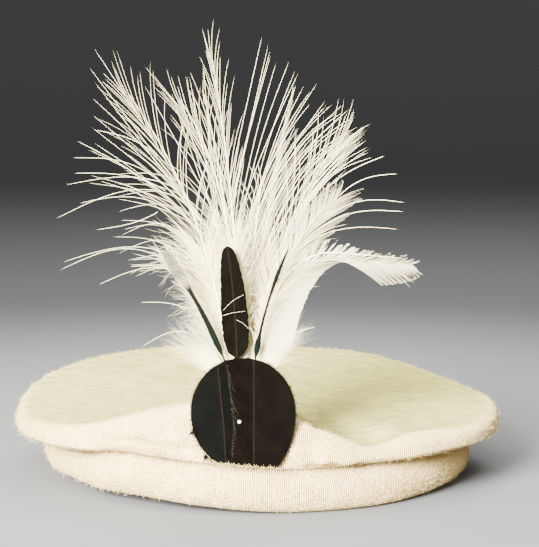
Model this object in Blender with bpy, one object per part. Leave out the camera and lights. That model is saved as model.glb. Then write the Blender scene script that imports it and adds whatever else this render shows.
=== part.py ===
"""A gilgiti cap: a flat round wool cap on a rolled brim, with a feather badge and a plume.

The cap stands on its rolled brim. Its front faces -Y, where the badge and the plume are pinned,
and an azimuth is measured from the front towards +X.
"""

import math
from collections import namedtuple

import bmesh
import bpy
from mathutils import Vector

# Sizes in metres. A share in a table below is a share of one of these.
HEAD_GIRTH = 0.566
CLOTH = 0.0026
GAP = 0.0003
CROWN_WIDTH = 0.272
CROWN_HEIGHT = 0.049
CROWN_CENTRE_HEIGHT = 0.041
BAND_FOOT = 0.003
ROLL_HEIGHT = 0.0240
ROLL_WIDTH = 0.026
ROLL_MIDDLE = 0.0107

BADGE_WIDTH = 0.053
BADGE_HEIGHT = 0.0542
BADGE_AZIMUTH = -3.4
BADGE_LEAN = 4.0
BADGE_LAP = 0.0018
VANE = 0.001
PIN_HEAD = 0.0026
PIN_SHANK = 0.001
PIN_REACH = 0.012
# The pin's place on the badge, as shares of the badge's width and height.
PIN_ACROSS = -0.036
PIN_UP = 0.405

# Where the badge is widest, as a share of its height, and how far below that place its round
# outline would close on the left and on the right. The flat foot cuts the outline off before.
BADGE_WIDEST = 0.49
BADGE_LOW_LEFT = 0.57
BADGE_LOW_RIGHT = 0.66
BADGE_STEPS = (0, 0.15, 0.32, 0.5, 0.68, 0.82, 0.92, 0.975)

QUILL = 0.0014
QUILL_PITCH = 0.0019
QUILL_FOOT = 0.029
PLUME_LENGTH = 0.190
PLUME_ARCH = 0.016
LAYER_LEAN = 2.4
UPRIGHT_LENGTH = 0.080
UPRIGHT_WIDTH = 0.0134
GREEN_LENGTH = 0.096
GREEN_WIDTH = 0.006
VANE_EDGE = 0.3
LEAF_STEPS = 12
LEAF_BARE = 0.28
SHAFT_TAPER = 0.6

# How far out on a white feather's lock each of its two sections lies, how wide it is there as a
# share of the room between locks, and how thick as a share of the quill.
LockSection = namedtuple("LockSection", "far width thick")
LOCK_SECTIONS = (LockSection(0.45, 0.38, 0.30), LockSection(1.0, 0.08, 0.18))
LOCK_FLUTTER = 0.3
BARE_STEPS = 2

AROUND = 60
ROLL_ANGLES = tuple(range(0, 360, 30))
GROOVE_ANGLE = 60

Roll = namedtuple("Roll", "azimuth reach girth lift")
ROLL_SECTIONS = (
    Roll(-180, 1.00, 1.00, 0.00),
    Roll(-125, 1.00, 1.00, 0.00),
    Roll(-90, 1.01, 0.98, 0.10),
    Roll(-60, 1.00, 0.96, 0.18),
    Roll(-38, 1.00, 0.99, 0.19),
    Roll(-14, 1.00, 1.00, 0.11),
    Roll(10, 1.00, 0.99, 0.00),
    Roll(30, 1.01, 1.02, 0.00),
    Roll(60, 1.00, 0.97, 0.00),
    Roll(110, 1.00, 1.00, 0.00),
)

Crown = namedtuple("Crown", "azimuth edge_reach edge_height droop ridge_reach ridge_height")
CROWN_SECTIONS = (
    Crown(-180, 1.00, 0.70, 0.04, 0.93, 1.00),
    Crown(-150, 1.00, 0.69, 0.04, 0.92, 1.02),
    Crown(-120, 1.00, 0.66, 0.05, 0.92, 0.98),
    Crown(-90, 1.00, 0.59, 0.06, 0.94, 0.83),
    Crown(-70, 0.99, 0.56, 0.02, 0.94, 0.74),
    Crown(-52, 0.94, 0.58, 0.06, 0.87, 0.78),
    Crown(-38, 0.89, 0.66, 0.00, 0.82, 0.93),
    Crown(-22, 0.84, 0.72, 0.00, 0.77, 1.09),
    Crown(-8, 0.82, 0.70, 0.00, 0.75, 1.14),
    Crown(8, 0.83, 0.64, 0.00, 0.77, 1.02),
    Crown(18, 0.86, 0.60, 0.00, 0.79, 0.84),
    Crown(33, 0.89, 0.54, 0.00, 0.83, 0.66),
    Crown(46, 0.93, 0.55, 0.07, 0.86, 0.72),
    Crown(62, 0.97, 0.55, 0.00, 0.90, 0.70),
    Crown(90, 1.00, 0.57, 0.05, 0.94, 0.76),
    Crown(115, 0.975, 0.60, 0.05, 0.91, 0.80),
    Crown(150, 1.00, 0.66, 0.04, 0.93, 0.95),
)

# The badge's two vanes, as shares of its width and height: the frayed edge where the right vane
# laps the left one, and each vane's shaft.
Lap = namedtuple("Lap", "up fray left_shaft right_shaft")
BADGE_LAPS = (
    Lap(0.00, -0.115, -0.165, 0.10),
    Lap(0.35, -0.090, -0.185, 0.10),
    Lap(0.65, -0.120, -0.215, 0.10),
    Lap(1.00, -0.165, -0.250, 0.10),
)

# Each feather has a seat in the row of quills and a layer in the depth of the fan. Angles are
# degrees from upright, positive to the right, and bend says how late the shaft turns. Lengths
# and barbs are shares of the plume's length, and spreads are degrees between shaft and barb.
Plume = namedtuple(
    "Plume", "name seat layer start end bend length left right low_spread high_spread locks"
)
PLUME = (
    Plume("plume_left_outer", -4, 3, -1, -41, 1.0, 1.01, 0.32, 0.20, 82, 14, 11),
    Plume("plume_left_inner", -3, 6, 1, -50, 2.2, 0.97, 0.20, 0.18, 50, 18, 10),
    Plume("plume_left_tip", -2, 8, 3, -15, 0.7, 0.97, 0.18, 0.16, 40, 19, 10),
    Plume("plume_centre", -1, 1, 1, -8, 0.9, 1.00, 0.16, 0.16, 32, 20, 10),
    Plume("plume_right_inner", 0, 5, 2, 11, 1.1, 0.93, 0.17, 0.20, 32, 18, 11),
    Plume("plume_back", 1, 9, 4, 14, 1.1, 0.92, 0.15, 0.18, 32, 16, 9),
    Plume("plume_webbed", 2, 4, 0, 54, 1.0, 0.68, 0.14, 0.18, 46, 18, 8),
    Plume("plume_right_outer", 3, 7, -1, 43, 1.0, 0.84, 0.26, 0.24, 44, 16, 10),
    Plume("plume_side", 4, 2, -3, 108, 1.15, 0.70, 0.11, 0.12, 52, 30, 8),
)


def eased(turns, values):
    """The value at turn 0 of a smooth curve through four values, which never overshoots them."""
    steps = [turns[i + 1] - turns[i] for i in range(3)]
    grades = [(values[i + 1] - values[i]) / steps[i] for i in range(3)]
    slopes = [2 * a * b / (a + b) if a * b > 0 else 0.0 for a, b in zip(grades, grades[1:])]
    t = -turns[1] / steps[1]
    from_first = values[1] * (1 + 2 * t) + slopes[0] * steps[1] * t
    from_second = values[2] * (3 - 2 * t) - slopes[1] * steps[1] * (1 - t)
    return from_first * (1 - t) ** 2 + from_second * t**2


def around(sections, azimuth):
    """A table's row at any azimuth, read smoothly between its rows."""
    first = sections[0].azimuth
    azimuth = (azimuth - first) % 360 + first
    later = sum(row.azimuth <= azimuth for row in sections)
    four = [sections[(later + step) % len(sections)] for step in (-2, -1, 0, 1)]
    turns = [(row.azimuth - azimuth + 180) % 360 - 180 for row in four]
    turns[1] = -((azimuth - four[1].azimuth) % 360)
    columns = [eased(turns, values) for values in list(zip(*four))[1:]]
    return type(sections[0])(azimuth, *columns)


def roll_point(azimuth, angle, clear=0.0):
    """A reach and height on the roll's skin, or clear of it. Angle 0 faces out, 90 up."""
    section = around(ROLL_SECTIONS, azimuth)
    ring = HEAD_GIRTH / math.tau + CLOTH + GAP + ROLL_WIDTH / 2
    turn = math.radians(angle)
    across = section.girth * ROLL_WIDTH / 2 + clear
    up = section.girth * (ROLL_HEIGHT - ROLL_MIDDLE) + clear
    reach = ring * section.reach + across * math.cos(turn)
    height = max(ROLL_MIDDLE + up * math.sin(turn), 0.0)
    return reach, height + section.lift * ROLL_HEIGHT


def crown_profile(azimuth):
    """Reaches and heights of the crown's outer skin, from the band's foot to the middle."""
    section = around(CROWN_SECTIONS, azimuth)
    edge = (section.edge_reach * CROWN_WIDTH / 2, section.edge_height * CROWN_HEIGHT)
    ridge = (section.ridge_reach * CROWN_WIDTH / 2, section.ridge_height * CROWN_HEIGHT)
    band = roll_point(azimuth, 180, GAP)
    lift = around(ROLL_SECTIONS, azimuth).lift * ROLL_HEIGHT
    points = [(band[0], BAND_FOOT + lift)]
    points += [roll_point(azimuth, angle, GAP) for angle in range(180, GROOVE_ANGLE - 1, -30)]
    groove = points[-1]
    for turn in (math.radians(degrees) for degrees in (45, 70, 90)):
        reach = groove[0] + (edge[0] - groove[0]) * math.sin(turn)
        droop = section.droop * CROWN_HEIGHT * math.sin(2 * turn)
        points.append((reach, edge[1] - (edge[1] - groove[1]) * math.cos(turn) - droop))
    for turn in (math.radians(degrees) for degrees in (25, 50, 75)):
        reach = ridge[0] + (edge[0] - ridge[0]) * math.cos(turn)
        points.append((reach, edge[1] + (ridge[1] - edge[1]) * math.sin(turn)))
    for part in (0.97, 0.85, 0.65, 0.40, 0.18):
        rise = part * part * (3 - 2 * part)
        height = CROWN_CENTRE_HEIGHT + (ridge[1] - CROWN_CENTRE_HEIGHT) * rise
        points.append((ridge[0] * part, height))
    points.append((0.0, CROWN_CENTRE_HEIGHT))
    return points


def material(name, colour, roughness, metallic=0.0):
    made = bpy.data.materials.new(name)
    made.use_nodes = True
    shader = made.node_tree.nodes["Principled BSDF"]
    shader.inputs["Base Color"].default_value = (*colour, 1.0)
    shader.inputs["Roughness"].default_value = roughness
    shader.inputs["Metallic"].default_value = metallic
    return made


def finished(name, bm, surface):
    """An object of a bmesh, with smooth faces."""
    mesh = bpy.data.meshes.new(name)
    bm.to_mesh(mesh)
    bm.free()
    mesh.materials.append(surface)
    mesh.shade_smooth()
    made = bpy.data.objects.new(name, mesh)
    bpy.context.scene.collection.objects.link(made)
    return made


def azimuth_of(point):
    return math.degrees(math.atan2(point.x, -point.y))


def place(verts, profile, index):
    """Moves a ring of points to one place in the profile, each at its own azimuth."""
    for vert in verts:
        azimuth = azimuth_of(vert.co)
        reach, height = profile(azimuth)[index]
        turn = math.radians(azimuth)
        vert.co = (reach * math.sin(turn), -reach * math.cos(turn), height)


def turned(bm, profile, count):
    """Rings of faces extruded one from the next along a profile. Gives the first and last edges."""
    bmesh.ops.create_circle(bm, segments=AROUND, radius=1.0)
    place(bm.verts[:], profile, 0)
    first = edges = bm.edges[:]
    for index in range(1, count):
        grown = bmesh.ops.extrude_edge_only(bm, edges=edges)["geom"]
        edges = [item for item in grown if isinstance(item, bmesh.types.BMEdge)]
        ends = {vert for edge in edges for vert in edge.verts}
        edges = [edge for edge in edges if set(edge.verts) <= ends and len(edge.link_faces) == 1]
        place([item for item in grown if isinstance(item, bmesh.types.BMVert)], profile, index)
    return first, edges


def rolled_brim(surface):
    """The wound roll, a ring with a flat foot."""
    bm = bmesh.new()

    def profile(azimuth):
        return [roll_point(azimuth, angle) for angle in ROLL_ANGLES]

    first, last = turned(bm, profile, len(ROLL_ANGLES))
    bmesh.ops.bridge_loops(bm, edges=first + last)
    bmesh.ops.recalc_face_normals(bm, faces=bm.faces[:])
    return finished("rolled_brim", bm, surface)


def crown(surface):
    """The wool shell: a band inside the roll, the puffed edge over it and the flat top."""
    bm = bmesh.new()
    rings = len(crown_profile(0.0)) - 1
    _, last = turned(bm, crown_profile, rings)
    top = bmesh.ops.extrude_edge_only(bm, edges=last)["geom"]
    middle = [item for item in top if isinstance(item, bmesh.types.BMVert)]
    bmesh.ops.pointmerge(bm, verts=middle, merge_co=(0.0, 0.0, CROWN_CENTRE_HEIGHT))
    bmesh.ops.recalc_face_normals(bm, faces=bm.faces[:])
    highest = max(bm.faces, key=lambda face: face.calc_center_median().z)
    if highest.normal.z < 0:
        bmesh.ops.reverse_faces(bm, faces=bm.faces[:])
    made = finished("crown", bm, surface)
    wall = made.modifiers.new("Wall", "SOLIDIFY")
    wall.thickness = CLOTH
    wall.offset = -1.0
    return made


def grown(bm, face, sections):
    """Extrudes a face through sections that list its corners' places, and gives the last face."""
    for section in sections:
        face = bmesh.ops.extrude_discrete_faces(bm, faces=[face])["faces"][0]
        for vert, point in zip(face.verts, section):
            vert.co = point
    return face


def lofted(name, sections, surface):
    """A closed solid through sections with the same number of corners."""
    bm = bmesh.new()
    start = [bm.verts.new(point) for point in sections[0]]
    grown(bm, bm.faces.new(start), sections[1:])
    bm.faces.new(start)
    bmesh.ops.recalc_face_normals(bm, faces=bm.faces[:])
    return finished(name, bm, surface)


def badge_foot():
    """The middle of the badge's foot, on the roll and in front of the crown's wall."""
    reach = max(point[0] for point in crown_profile(BADGE_AZIMUTH)) + GAP + VANE / 2
    turn = math.radians(BADGE_AZIMUTH)
    height = roll_point(BADGE_AZIMUTH, 90, GAP)[1]
    return Vector((reach * math.sin(turn), -reach * math.cos(turn), height))


def on_badge(across, up, behind=0.0):
    """A point across and up the badge's plane, and behind it."""
    lean = math.radians(BADGE_LEAN)
    along = Vector((0.0, math.sin(lean), math.cos(lean)))
    back = Vector((0.0, math.cos(lean), -math.sin(lean)))
    return badge_foot() + Vector((across, 0.0, 0.0)) + along * up + back * behind


def on_layer(across, up, layer, behind=0.0):
    """A point on one layer of the fan of feathers behind the badge. Layer 0 stands in front."""
    row = VANE / 2 + GAP + QUILL / 2 + (QUILL + GAP if layer else 0.0)
    rise = max(up - QUILL_FOOT, 0.0)
    back = rise * math.tan(math.radians(LAYER_LEAN * layer))
    return on_badge(across, up, row + back - PLUME_ARCH * (rise / PLUME_LENGTH) ** 2 + behind)


def blade_section(left, middle, right, rib, place):
    """Six corners of a feather's vane: thin at its edges and rib thick at its shaft."""
    edge = VANE * VANE_EDGE
    corners = ((left, -edge), (middle, -rib / 2), (right, -edge))
    corners += ((right, edge), (middle, rib / 2), (left, edge))
    return [place(point[0], point[1], behind) for point, behind in corners]


def badge_edge(up, side):
    """How far the badge's round outline reaches to one side at a height: a flat-footed round."""
    middle = BADGE_HEIGHT * BADGE_WIDEST
    low = BADGE_HEIGHT * (BADGE_LOW_LEFT if side < 0 else BADGE_LOW_RIGHT)
    share = (up - middle) / (BADGE_HEIGHT - middle if up > middle else low)
    return side * BADGE_WIDTH / 2 * math.sqrt(max(1 - share * share, 0.0))


def badge_lap(up):
    """The fray and the shafts at a height on the badge, as distances across it."""
    share = up / BADGE_HEIGHT
    low = [row for row in BADGE_LAPS if row.up <= share][-1]
    high = [row for row in BADGE_LAPS if row.up > share or row is BADGE_LAPS[-1]][0]
    part = (share - low.up) / (high.up - low.up) if high is not low else 0.0
    return [(a + (b - a) * part) * BADGE_WIDTH for a, b in zip(low[1:], high[1:])]


def badge(surface_left, surface_right):
    """The round badge of two trimmed vanes. The right one lies on the left one."""
    heights = [share * BADGE_HEIGHT for share in BADGE_STEPS]

    def left_place(across, up, behind):
        return on_badge(across, up, behind)

    def right_place(across, up, behind):
        return on_badge(across, up, behind - VANE - GAP)

    left, right = [], []
    for up in heights:
        fray, left_shaft, right_shaft = badge_lap(up)
        outer = badge_edge(up, -1)
        inner = min(fray + BADGE_LAP, badge_edge(up, 1))
        shaft = min(max(left_shaft, outer * 0.9 + inner * 0.1), outer * 0.1 + inner * 0.9)
        left.append(blade_section((outer, up), (shaft, up), (inner, up), VANE, left_place))
        inner = max(fray, outer)
        outer = badge_edge(up, 1)
        shaft = min(max(right_shaft, inner * 0.9 + outer * 0.1), inner * 0.1 + outer * 0.9)
        right.append(blade_section((inner, up), (shaft, up), (outer, up), VANE, right_place))
    lofted("badge_left", left, surface_left)
    return lofted("badge_right", right, surface_right)


def pin_place():
    """Where the pin crosses the badge's front vane."""
    return on_badge(PIN_ACROSS * BADGE_WIDTH, PIN_UP * BADGE_HEIGHT, -VANE - GAP)


def turned_pin(name, rings, sides, surface):
    """A closed round solid whose rings are given as radii and distances in front of the badge."""
    bm = bmesh.new()
    bmesh.ops.create_circle(bm, segments=sides, radius=rings[0][0], cap_ends=True)
    face = bm.faces[:][0]
    start = list(face.verts)
    directions = [vert.co.normalized() for vert in start]
    for vert in start:
        vert.co.z = rings[0][1]
    sections = [[d * radius + Vector((0, 0, front)) for d in directions] for radius, front in rings]
    grown(bm, face, sections[1:])
    bm.faces.new(start)
    bmesh.ops.recalc_face_normals(bm, faces=bm.faces[:])
    made = finished(name, bm, surface)
    made.location = pin_place()
    made.rotation_euler = (math.radians(90 - BADGE_LEAN), 0.0, 0.0)
    return made


def pin(surface, pierced):
    """The pin, whose hidden shank passes through the badge and the crown's wall."""
    head, shank, seat = PIN_HEAD / 2, PIN_SHANK / 2, VANE / 2 + GAP
    rings = [(shank * 0.4, -PIN_REACH), (shank, -PIN_REACH + PIN_SHANK), (shank, seat)]
    for degrees in (-60, -25, 10, 45, 75):
        turn = math.radians(degrees)
        rings.append((head * math.cos(turn), seat + head * (0.87 + math.sin(turn))))
    turned_pin("pin", rings, 10, surface)
    hole = turned_pin("pin_hole", [(shank + GAP, -PIN_REACH - GAP), (shank + GAP, seat)], 10, surface)
    hole.hide_render = True
    hole.display_type = "WIRE"
    for made in pierced:
        cut = made.modifiers.new("Pin hole", "BOOLEAN")
        cut.object = hole


def shaft_line(seat, start, end, bend, length, steps):
    """Places and angles along a feather's shaft, across and up its layer from its quill's foot."""
    across, up = seat * QUILL_PITCH, QUILL_FOOT
    line = []
    fine = 8
    for index in range(steps * fine + 1):
        share = index / (steps * fine)
        angle = math.radians(start + (end - start) * share**bend)
        if index % fine == 0:
            line.append((across, up, angle))
        across += length / (steps * fine) * math.sin(angle)
        up += length / (steps * fine) * math.cos(angle)
    return line


def leaf(name, seat, start, end, length, widths, surface):
    """A narrow feather with a whole vane on a bare quill. Widths are left and right of its shaft."""
    steps = LEAF_STEPS

    def place(across, up, behind):
        return on_layer(across, up, 0, behind)

    sections = []
    for index, (across, up, angle) in enumerate(shaft_line(seat, start, end, 1.0, length, steps)):
        share = max(index / steps - LEAF_BARE, 0.0) / (1 - LEAF_BARE)
        swell = math.sin(math.pi * min(share, 0.97) ** 0.85) ** 0.6
        half = QUILL * 0.45
        left, right = (max(width * swell, half) for width in widths)
        corners = [
            (across + side * math.cos(angle), up - side * math.sin(angle))
            for side in (-left, 0.0, right)
        ]
        sections.append(blade_section(*corners, QUILL * (1 - 0.5 * share), place))
    return lofted(name, sections, surface)


def lock_length(share):
    """How long the barbs are along a shaft, as a share of the longest."""
    return (0.5 + 2.2 * share) * (1 - share) ** 0.8


def plume_feather(row, surface):
    """A white feather: a shaft with locks of barbs extruded from its two sides."""
    bm = bmesh.new()
    steps = row.locks + BARE_STEPS
    line = shaft_line(row.seat, row.start, row.end, row.bend, row.length * PLUME_LENGTH, steps)

    def place(across, up, behind):
        return on_layer(across, up, row.layer, behind)

    def corners(across, up, angle, half, thick):
        side = (half * math.cos(angle), -half * math.sin(angle))
        low, high = (across - side[0], up - side[1]), (across + side[0], up + side[1])
        return [place(*low, -thick), place(*high, -thick), place(*high, thick), place(*low, thick)]

    sections = []
    for index, (across, up, angle) in enumerate(line):
        half = QUILL / 2 * (1 - SHAFT_TAPER * index / steps)
        sections.append(corners(across, up, angle, half, half))
    start = [bm.verts.new(point) for point in sections[0]]
    last = bm.faces.new(start)
    sides = []
    for section in sections[1:]:
        low = list(last.verts)
        last = grown(bm, last, [section])
        high = list(last.verts)
        sides.append(((low[0], high[0], high[3], low[3]), (low[1], high[1], high[2], low[2])))
    bm.faces.new(start)
    for index in range(BARE_STEPS, steps):
        share = (index + 0.5 - BARE_STEPS) / row.locks
        across, up, angle = [(a + b) / 2 for a, b in zip(line[index], line[index + 1])]
        pitch = row.length * PLUME_LENGTH / steps
        spread = row.low_spread + (row.high_spread - row.low_spread) * share**0.7
        for side, verts, reach in ((-1, sides[index][0], row.left), (1, sides[index][1], row.right)):
            length = reach * PLUME_LENGTH * lock_length(share)
            flutter = (-1) ** index * LOCK_FLUTTER * math.tan(math.radians(LAYER_LEAN))
            at = (across, up)
            found = []
            before = 0.0
            for far, width, thick in LOCK_SECTIONS:
                turn = angle + side * math.radians(spread * (0.45 + 0.75 * far))
                step = length * (far - before)
                before = far
                at = (at[0] + step * math.sin(turn), at[1] + step * math.cos(turn))
                half = width * math.sin(math.radians(spread * 0.8)) * min(pitch, length * 0.7)
                rise = max(at[1] - QUILL_FOOT, 0.0)
                sway = flutter * rise * far
                across_lock = (half * math.cos(turn), -half * math.sin(turn))
                low = (at[0] + side * across_lock[0], at[1] + side * across_lock[1])
                high = (at[0] - side * across_lock[0], at[1] - side * across_lock[1])
                thin = QUILL * thick
                found.append(
                    [
                        place(*low, sway - thin),
                        place(*high, sway - thin),
                        place(*high, sway + thin),
                        place(*low, sway + thin),
                    ]
                )
            face = bm.faces.get(verts)
            order = {vert: number for number, vert in enumerate(verts)}
            numbers = [order[vert] for vert in face.verts]
            grown(bm, face, [[section[number] for number in numbers] for section in found])
    bmesh.ops.recalc_face_normals(bm, faces=bm.faces[:])
    return finished(row.name, bm, surface)


def centre_over_origin():
    """Moves every piece along Y so that the front and the back reach equally far."""
    bpy.context.view_layer.update()
    reaches = [(m.matrix_world @ Vector(corner)).y for m in bpy.data.objects for corner in m.bound_box]
    for made in bpy.data.objects:
        made.location.y -= (min(reaches) + max(reaches)) / 2


def main():
    for old in list(bpy.data.objects):
        bpy.data.objects.remove(old)
    wool = material("wool", (0.80, 0.76, 0.66), 0.95)
    blue_black = material("blue_black_feather", (0.018, 0.022, 0.026), 0.45)
    brown_black = material("brown_black_feather", (0.030, 0.022, 0.018), 0.5)
    green = material("green_feather", (0.010, 0.045, 0.030), 0.35)
    white = material("white_feather", (0.86, 0.84, 0.76), 0.6)
    bead = material("pin_head", (0.90, 0.90, 0.88), 0.25)
    rolled_brim(wool)
    cap = crown(wool)
    front = badge(blue_black, brown_black)
    pin(bead, (cap, front))
    half = UPRIGHT_WIDTH / 2
    leaf("upright_feather", -1.6, 1, -8, UPRIGHT_LENGTH, (half, half), brown_black)
    leaf("green_feather_left", -4.5, -14, -27, GREEN_LENGTH, (GREEN_WIDTH, GREEN_WIDTH / 2), green)
    leaf("green_feather_right", 2, 2, 25, GREEN_LENGTH * 0.86, (GREEN_WIDTH / 2,) * 2, green)
    for row in PLUME:
        plume_feather(row, white)
    centre_over_origin()


if __name__ == "__main__":
    main()
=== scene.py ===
"""A gilgiti cap: a flat round wool cap on a rolled brim, with a feather badge and a plume.

The front of the cap faces -Y, and an azimuth is measured from the front towards +X. Sizes of the
cap's own form are in metres.
"""

import math
from collections import namedtuple

import bpy
import numpy as np
from bpy.props import FloatProperty, FloatVectorProperty, IntProperty, PointerProperty
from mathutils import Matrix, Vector, noise


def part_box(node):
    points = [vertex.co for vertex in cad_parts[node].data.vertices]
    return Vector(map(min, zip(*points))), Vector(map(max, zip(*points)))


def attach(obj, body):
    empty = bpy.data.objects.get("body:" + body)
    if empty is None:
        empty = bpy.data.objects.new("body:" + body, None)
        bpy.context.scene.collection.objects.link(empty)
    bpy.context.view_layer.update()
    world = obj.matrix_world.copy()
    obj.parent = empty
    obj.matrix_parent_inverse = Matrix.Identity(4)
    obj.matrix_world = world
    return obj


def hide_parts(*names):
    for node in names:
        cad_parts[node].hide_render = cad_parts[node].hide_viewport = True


bl_info = {
    "name": "Gilgiti Cap",
    "version": (1, 0, 0),
    "blender": (4, 5, 0),
    "location": "View3D > Sidebar > Cap",
    "description": "Models a wool cap with a rolled brim, a feather badge and a white plume",
    "category": "Object",
}

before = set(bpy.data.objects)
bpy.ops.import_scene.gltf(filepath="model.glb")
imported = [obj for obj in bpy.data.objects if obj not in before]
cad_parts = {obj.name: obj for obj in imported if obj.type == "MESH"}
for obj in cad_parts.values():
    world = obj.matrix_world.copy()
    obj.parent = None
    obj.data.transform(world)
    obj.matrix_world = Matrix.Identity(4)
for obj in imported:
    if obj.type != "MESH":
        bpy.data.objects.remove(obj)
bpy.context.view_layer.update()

CROWN_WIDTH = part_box("crown")[1][0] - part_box("crown")[0][0]
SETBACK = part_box("crown")[1][1] - CROWN_WIDTH / 2

HEAD_GIRTH = 0.566
CLOTH = 0.0026
GAP = 0.0003
CROWN_HEIGHT = 0.049
CROWN_CENTRE_HEIGHT = 0.041
BAND_FOOT = 0.003
ROLL_HEIGHT = 0.0240
ROLL_WIDTH = 0.026
ROLL_MIDDLE = 0.0107
GROOVE_ANGLE = 60

BADGE_WIDTH = 0.053
BADGE_HEIGHT = 0.0542
BADGE_AZIMUTH = -3.4
BADGE_LEAN = 4.0
BADGE_LAP = 0.0018
VANE = 0.001
PIN_HEAD = 0.0026
PIN_ACROSS = -0.036
PIN_UP = 0.405

# Where the badge is widest, as a share of its height, and how far below that place its round
# outline would close on the left and on the right. The flat foot cuts the outline off before.
BADGE_WIDEST = 0.49
BADGE_LOW_LEFT = 0.57
BADGE_LOW_RIGHT = 0.66

QUILL = 0.0014
QUILL_PITCH = 0.0019
QUILL_FOOT = 0.029
PLUME_LENGTH = 0.190
PLUME_ARCH = 0.016
LAYER_LEAN = 2.4
UPRIGHT_LENGTH = 0.080
UPRIGHT_WIDTH = 0.0134
GREEN_LENGTH = 0.096
GREEN_WIDTH = 0.006

# How far behind the badge's plane the narrow feathers lie, and how far the right vane is in front.
LEAF_DEPTH = VANE / 2 + GAP + QUILL / 2
BADGE_FRONT = -VANE - GAP

CLOTH_AROUND = 180
CLOTH_PARTS = 3
ROLL_RING = 24
LAP_ANGLE = 228
LAP_DEPTH = 0.0012
CREASE = 0.0016
CORNER = 0.82
SEAM = 0.0016
LUMP_SAG = 0.7
FIBRE = 0.00008
FIBRE_POINTS = 3
LONGER_LEFT = 1.6

WOOL_RIBS = 680
WEB_LINES = 1100
BARB_PITCH = 0.0013

BADGE_ROWS = 48
BADGE_COLUMNS = 28
BADGE_TOP = 0.998
VANE_RIDGE = 0.0006
BADGE_SLANT = 0.0022
BADGE_SLANT_SPAN = (0.016, -0.018)
BADGE_DROP = 0.0011
RIM_BARBS = 420
FRAY_BARBS = 380
LONG_FRAY = 0.04
FOOT_FIBRES = 170
STUB_HAIRS = 44
FRINGE_POINTS = 6
EDGE_HAIR = 0.00010
FRAY_HAIR = 0.00005
STUB_HAIR = 0.00018
STUB_QUILL = 0.0008
STUB_LENGTH = 0.0038
LEAF_STEPS = 60
LEAF_COLUMNS = 12
LEAF_BARE = 0.31
LEAF_WIDEST = 0.36

# The narrow feathers: angles, length and half widths of the vane, shares of the length and what is
# left of the width there, and how many loose barbs it has and how long they are.
Leaf = namedtuple("Leaf", "seat start end bend length left right waist barbs barb_length")
WHOLE = ((0.0, 1.0), (1.0, 1.0))
LEFT_WAIST = ((0.0, 0.60), (0.32, 0.50), (0.62, 0.26), (0.72, 0.26), (0.84, 0.95), (1.0, 1.0))
RIGHT_WAIST = ((0.0, 1.0), (0.38, 0.95), (0.45, 0.30), (0.68, 0.24), (0.82, 0.60), (1.0, 0.5))
UPRIGHT = Leaf(
    -1.6, 1, -8, 1.0, UPRIGHT_LENGTH * 1.02, UPRIGHT_WIDTH / 2, UPRIGHT_WIDTH / 2, WHOLE, 40, 0.0022
)
LEFT_GREEN = Leaf(
    -2.2, 10, -35, 0.3, GREEN_LENGTH * 0.92, GREEN_WIDTH * 0.8, GREEN_WIDTH * 0.5, LEFT_WAIST, 200, 0.012
)
RIGHT_GREEN = Leaf(
    2, 2, 25, 1.0, GREEN_LENGTH * 0.86, GREEN_WIDTH * 0.34, GREEN_WIDTH * 0.34, RIGHT_WAIST, 200, 0.012
)

# Quill ends on the badge: shares of its width and height, and which way each one points.
STUBS = ((-0.465, 0.31, -110), (-0.345, 0.075, -130))

BARE = 0.07
WEB_ROWS = 110
WEB_THICK = 0.00012
FILLING = 260
FILLED = 0.40
FRONT_DOWN = 460
FRONT_DOWN_LEFT = 0.68
FEATHER_STEPS = 240
BARB_POINTS = 9
BARB_DEPTH = 0.09
DOWN_LENGTH = 0.036
SHAFT_PARTS = 24
SHAFT_SIDES = 8
SHAFT_TAPER = 0.85

# No shaft leans over further than this, in degrees.
LEVEL = 95

# The fewest and the most barbs that hold together in a web, and how much yellower strips are.
WEB_BUNDLES = {"split": (4, 13), "strips": (2, 6), "whole": (WEB_ROWS, WEB_ROWS)}
STRIP_TINT = 3.0

# A direction that no strand runs along.
ASIDE = np.array([0.13, 0.98, 0.15])

# How thick single barbs are: in front of the dark feather, in the table of strays and in a fan.
CROSSING_THICKNESS = 0.42
STRAY_THICKNESS = 1.35
FAN_THICKNESS = 1.0

# Seeds of the random draws. The feathers' are counted on from theirs.
SEEDS = {
    "rolled_brim_fuzz": 11,
    "crown_fuzz": 12,
    "badge_left_edge": 21,
    "badge_right_edge": 23,
    "badge_fray": 27,
    "badge_foot_fuzz": 29,
    "badge_stubs": 31,
    "dark_feathers": 40,
    "plume": 100,
    "plume_single_barbs": 150,
    "plume_front_down": 160,
}

# Waves of the cloth: grain and push in metres, seed, and how much finer they are upwards.
Wave = namedtuple("Wave", "grain push seed flatness")
ROLL_WAVES = (
    Wave(0.030, 0.0009, 1, 1.0),
    Wave(0.011, 0.00035, 2, 1.0),
)
CROWN_WAVES = (
    Wave(0.034, 0.0011, 3, 1.0),
    Wave(0.012, 0.0005, 4, 1.0),
    Wave(0.016, 0.0006, 5, 3.5),
)

Roll = namedtuple("Roll", "azimuth reach girth lift")
ROLL_SECTIONS = (
    Roll(-180, 1.00, 1.00, 0.00),
    Roll(-125, 1.00, 1.00, 0.00),
    Roll(-90, 1.01, 0.98, 0.10),
    Roll(-60, 1.00, 0.96, 0.18),
    Roll(-38, 1.00, 0.99, 0.19),
    Roll(-14, 1.00, 1.00, 0.11),
    Roll(10, 1.00, 0.99, 0.00),
    Roll(30, 1.01, 1.02, 0.00),
    Roll(60, 1.00, 0.97, 0.00),
    Roll(110, 1.00, 1.00, 0.00),
)

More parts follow.
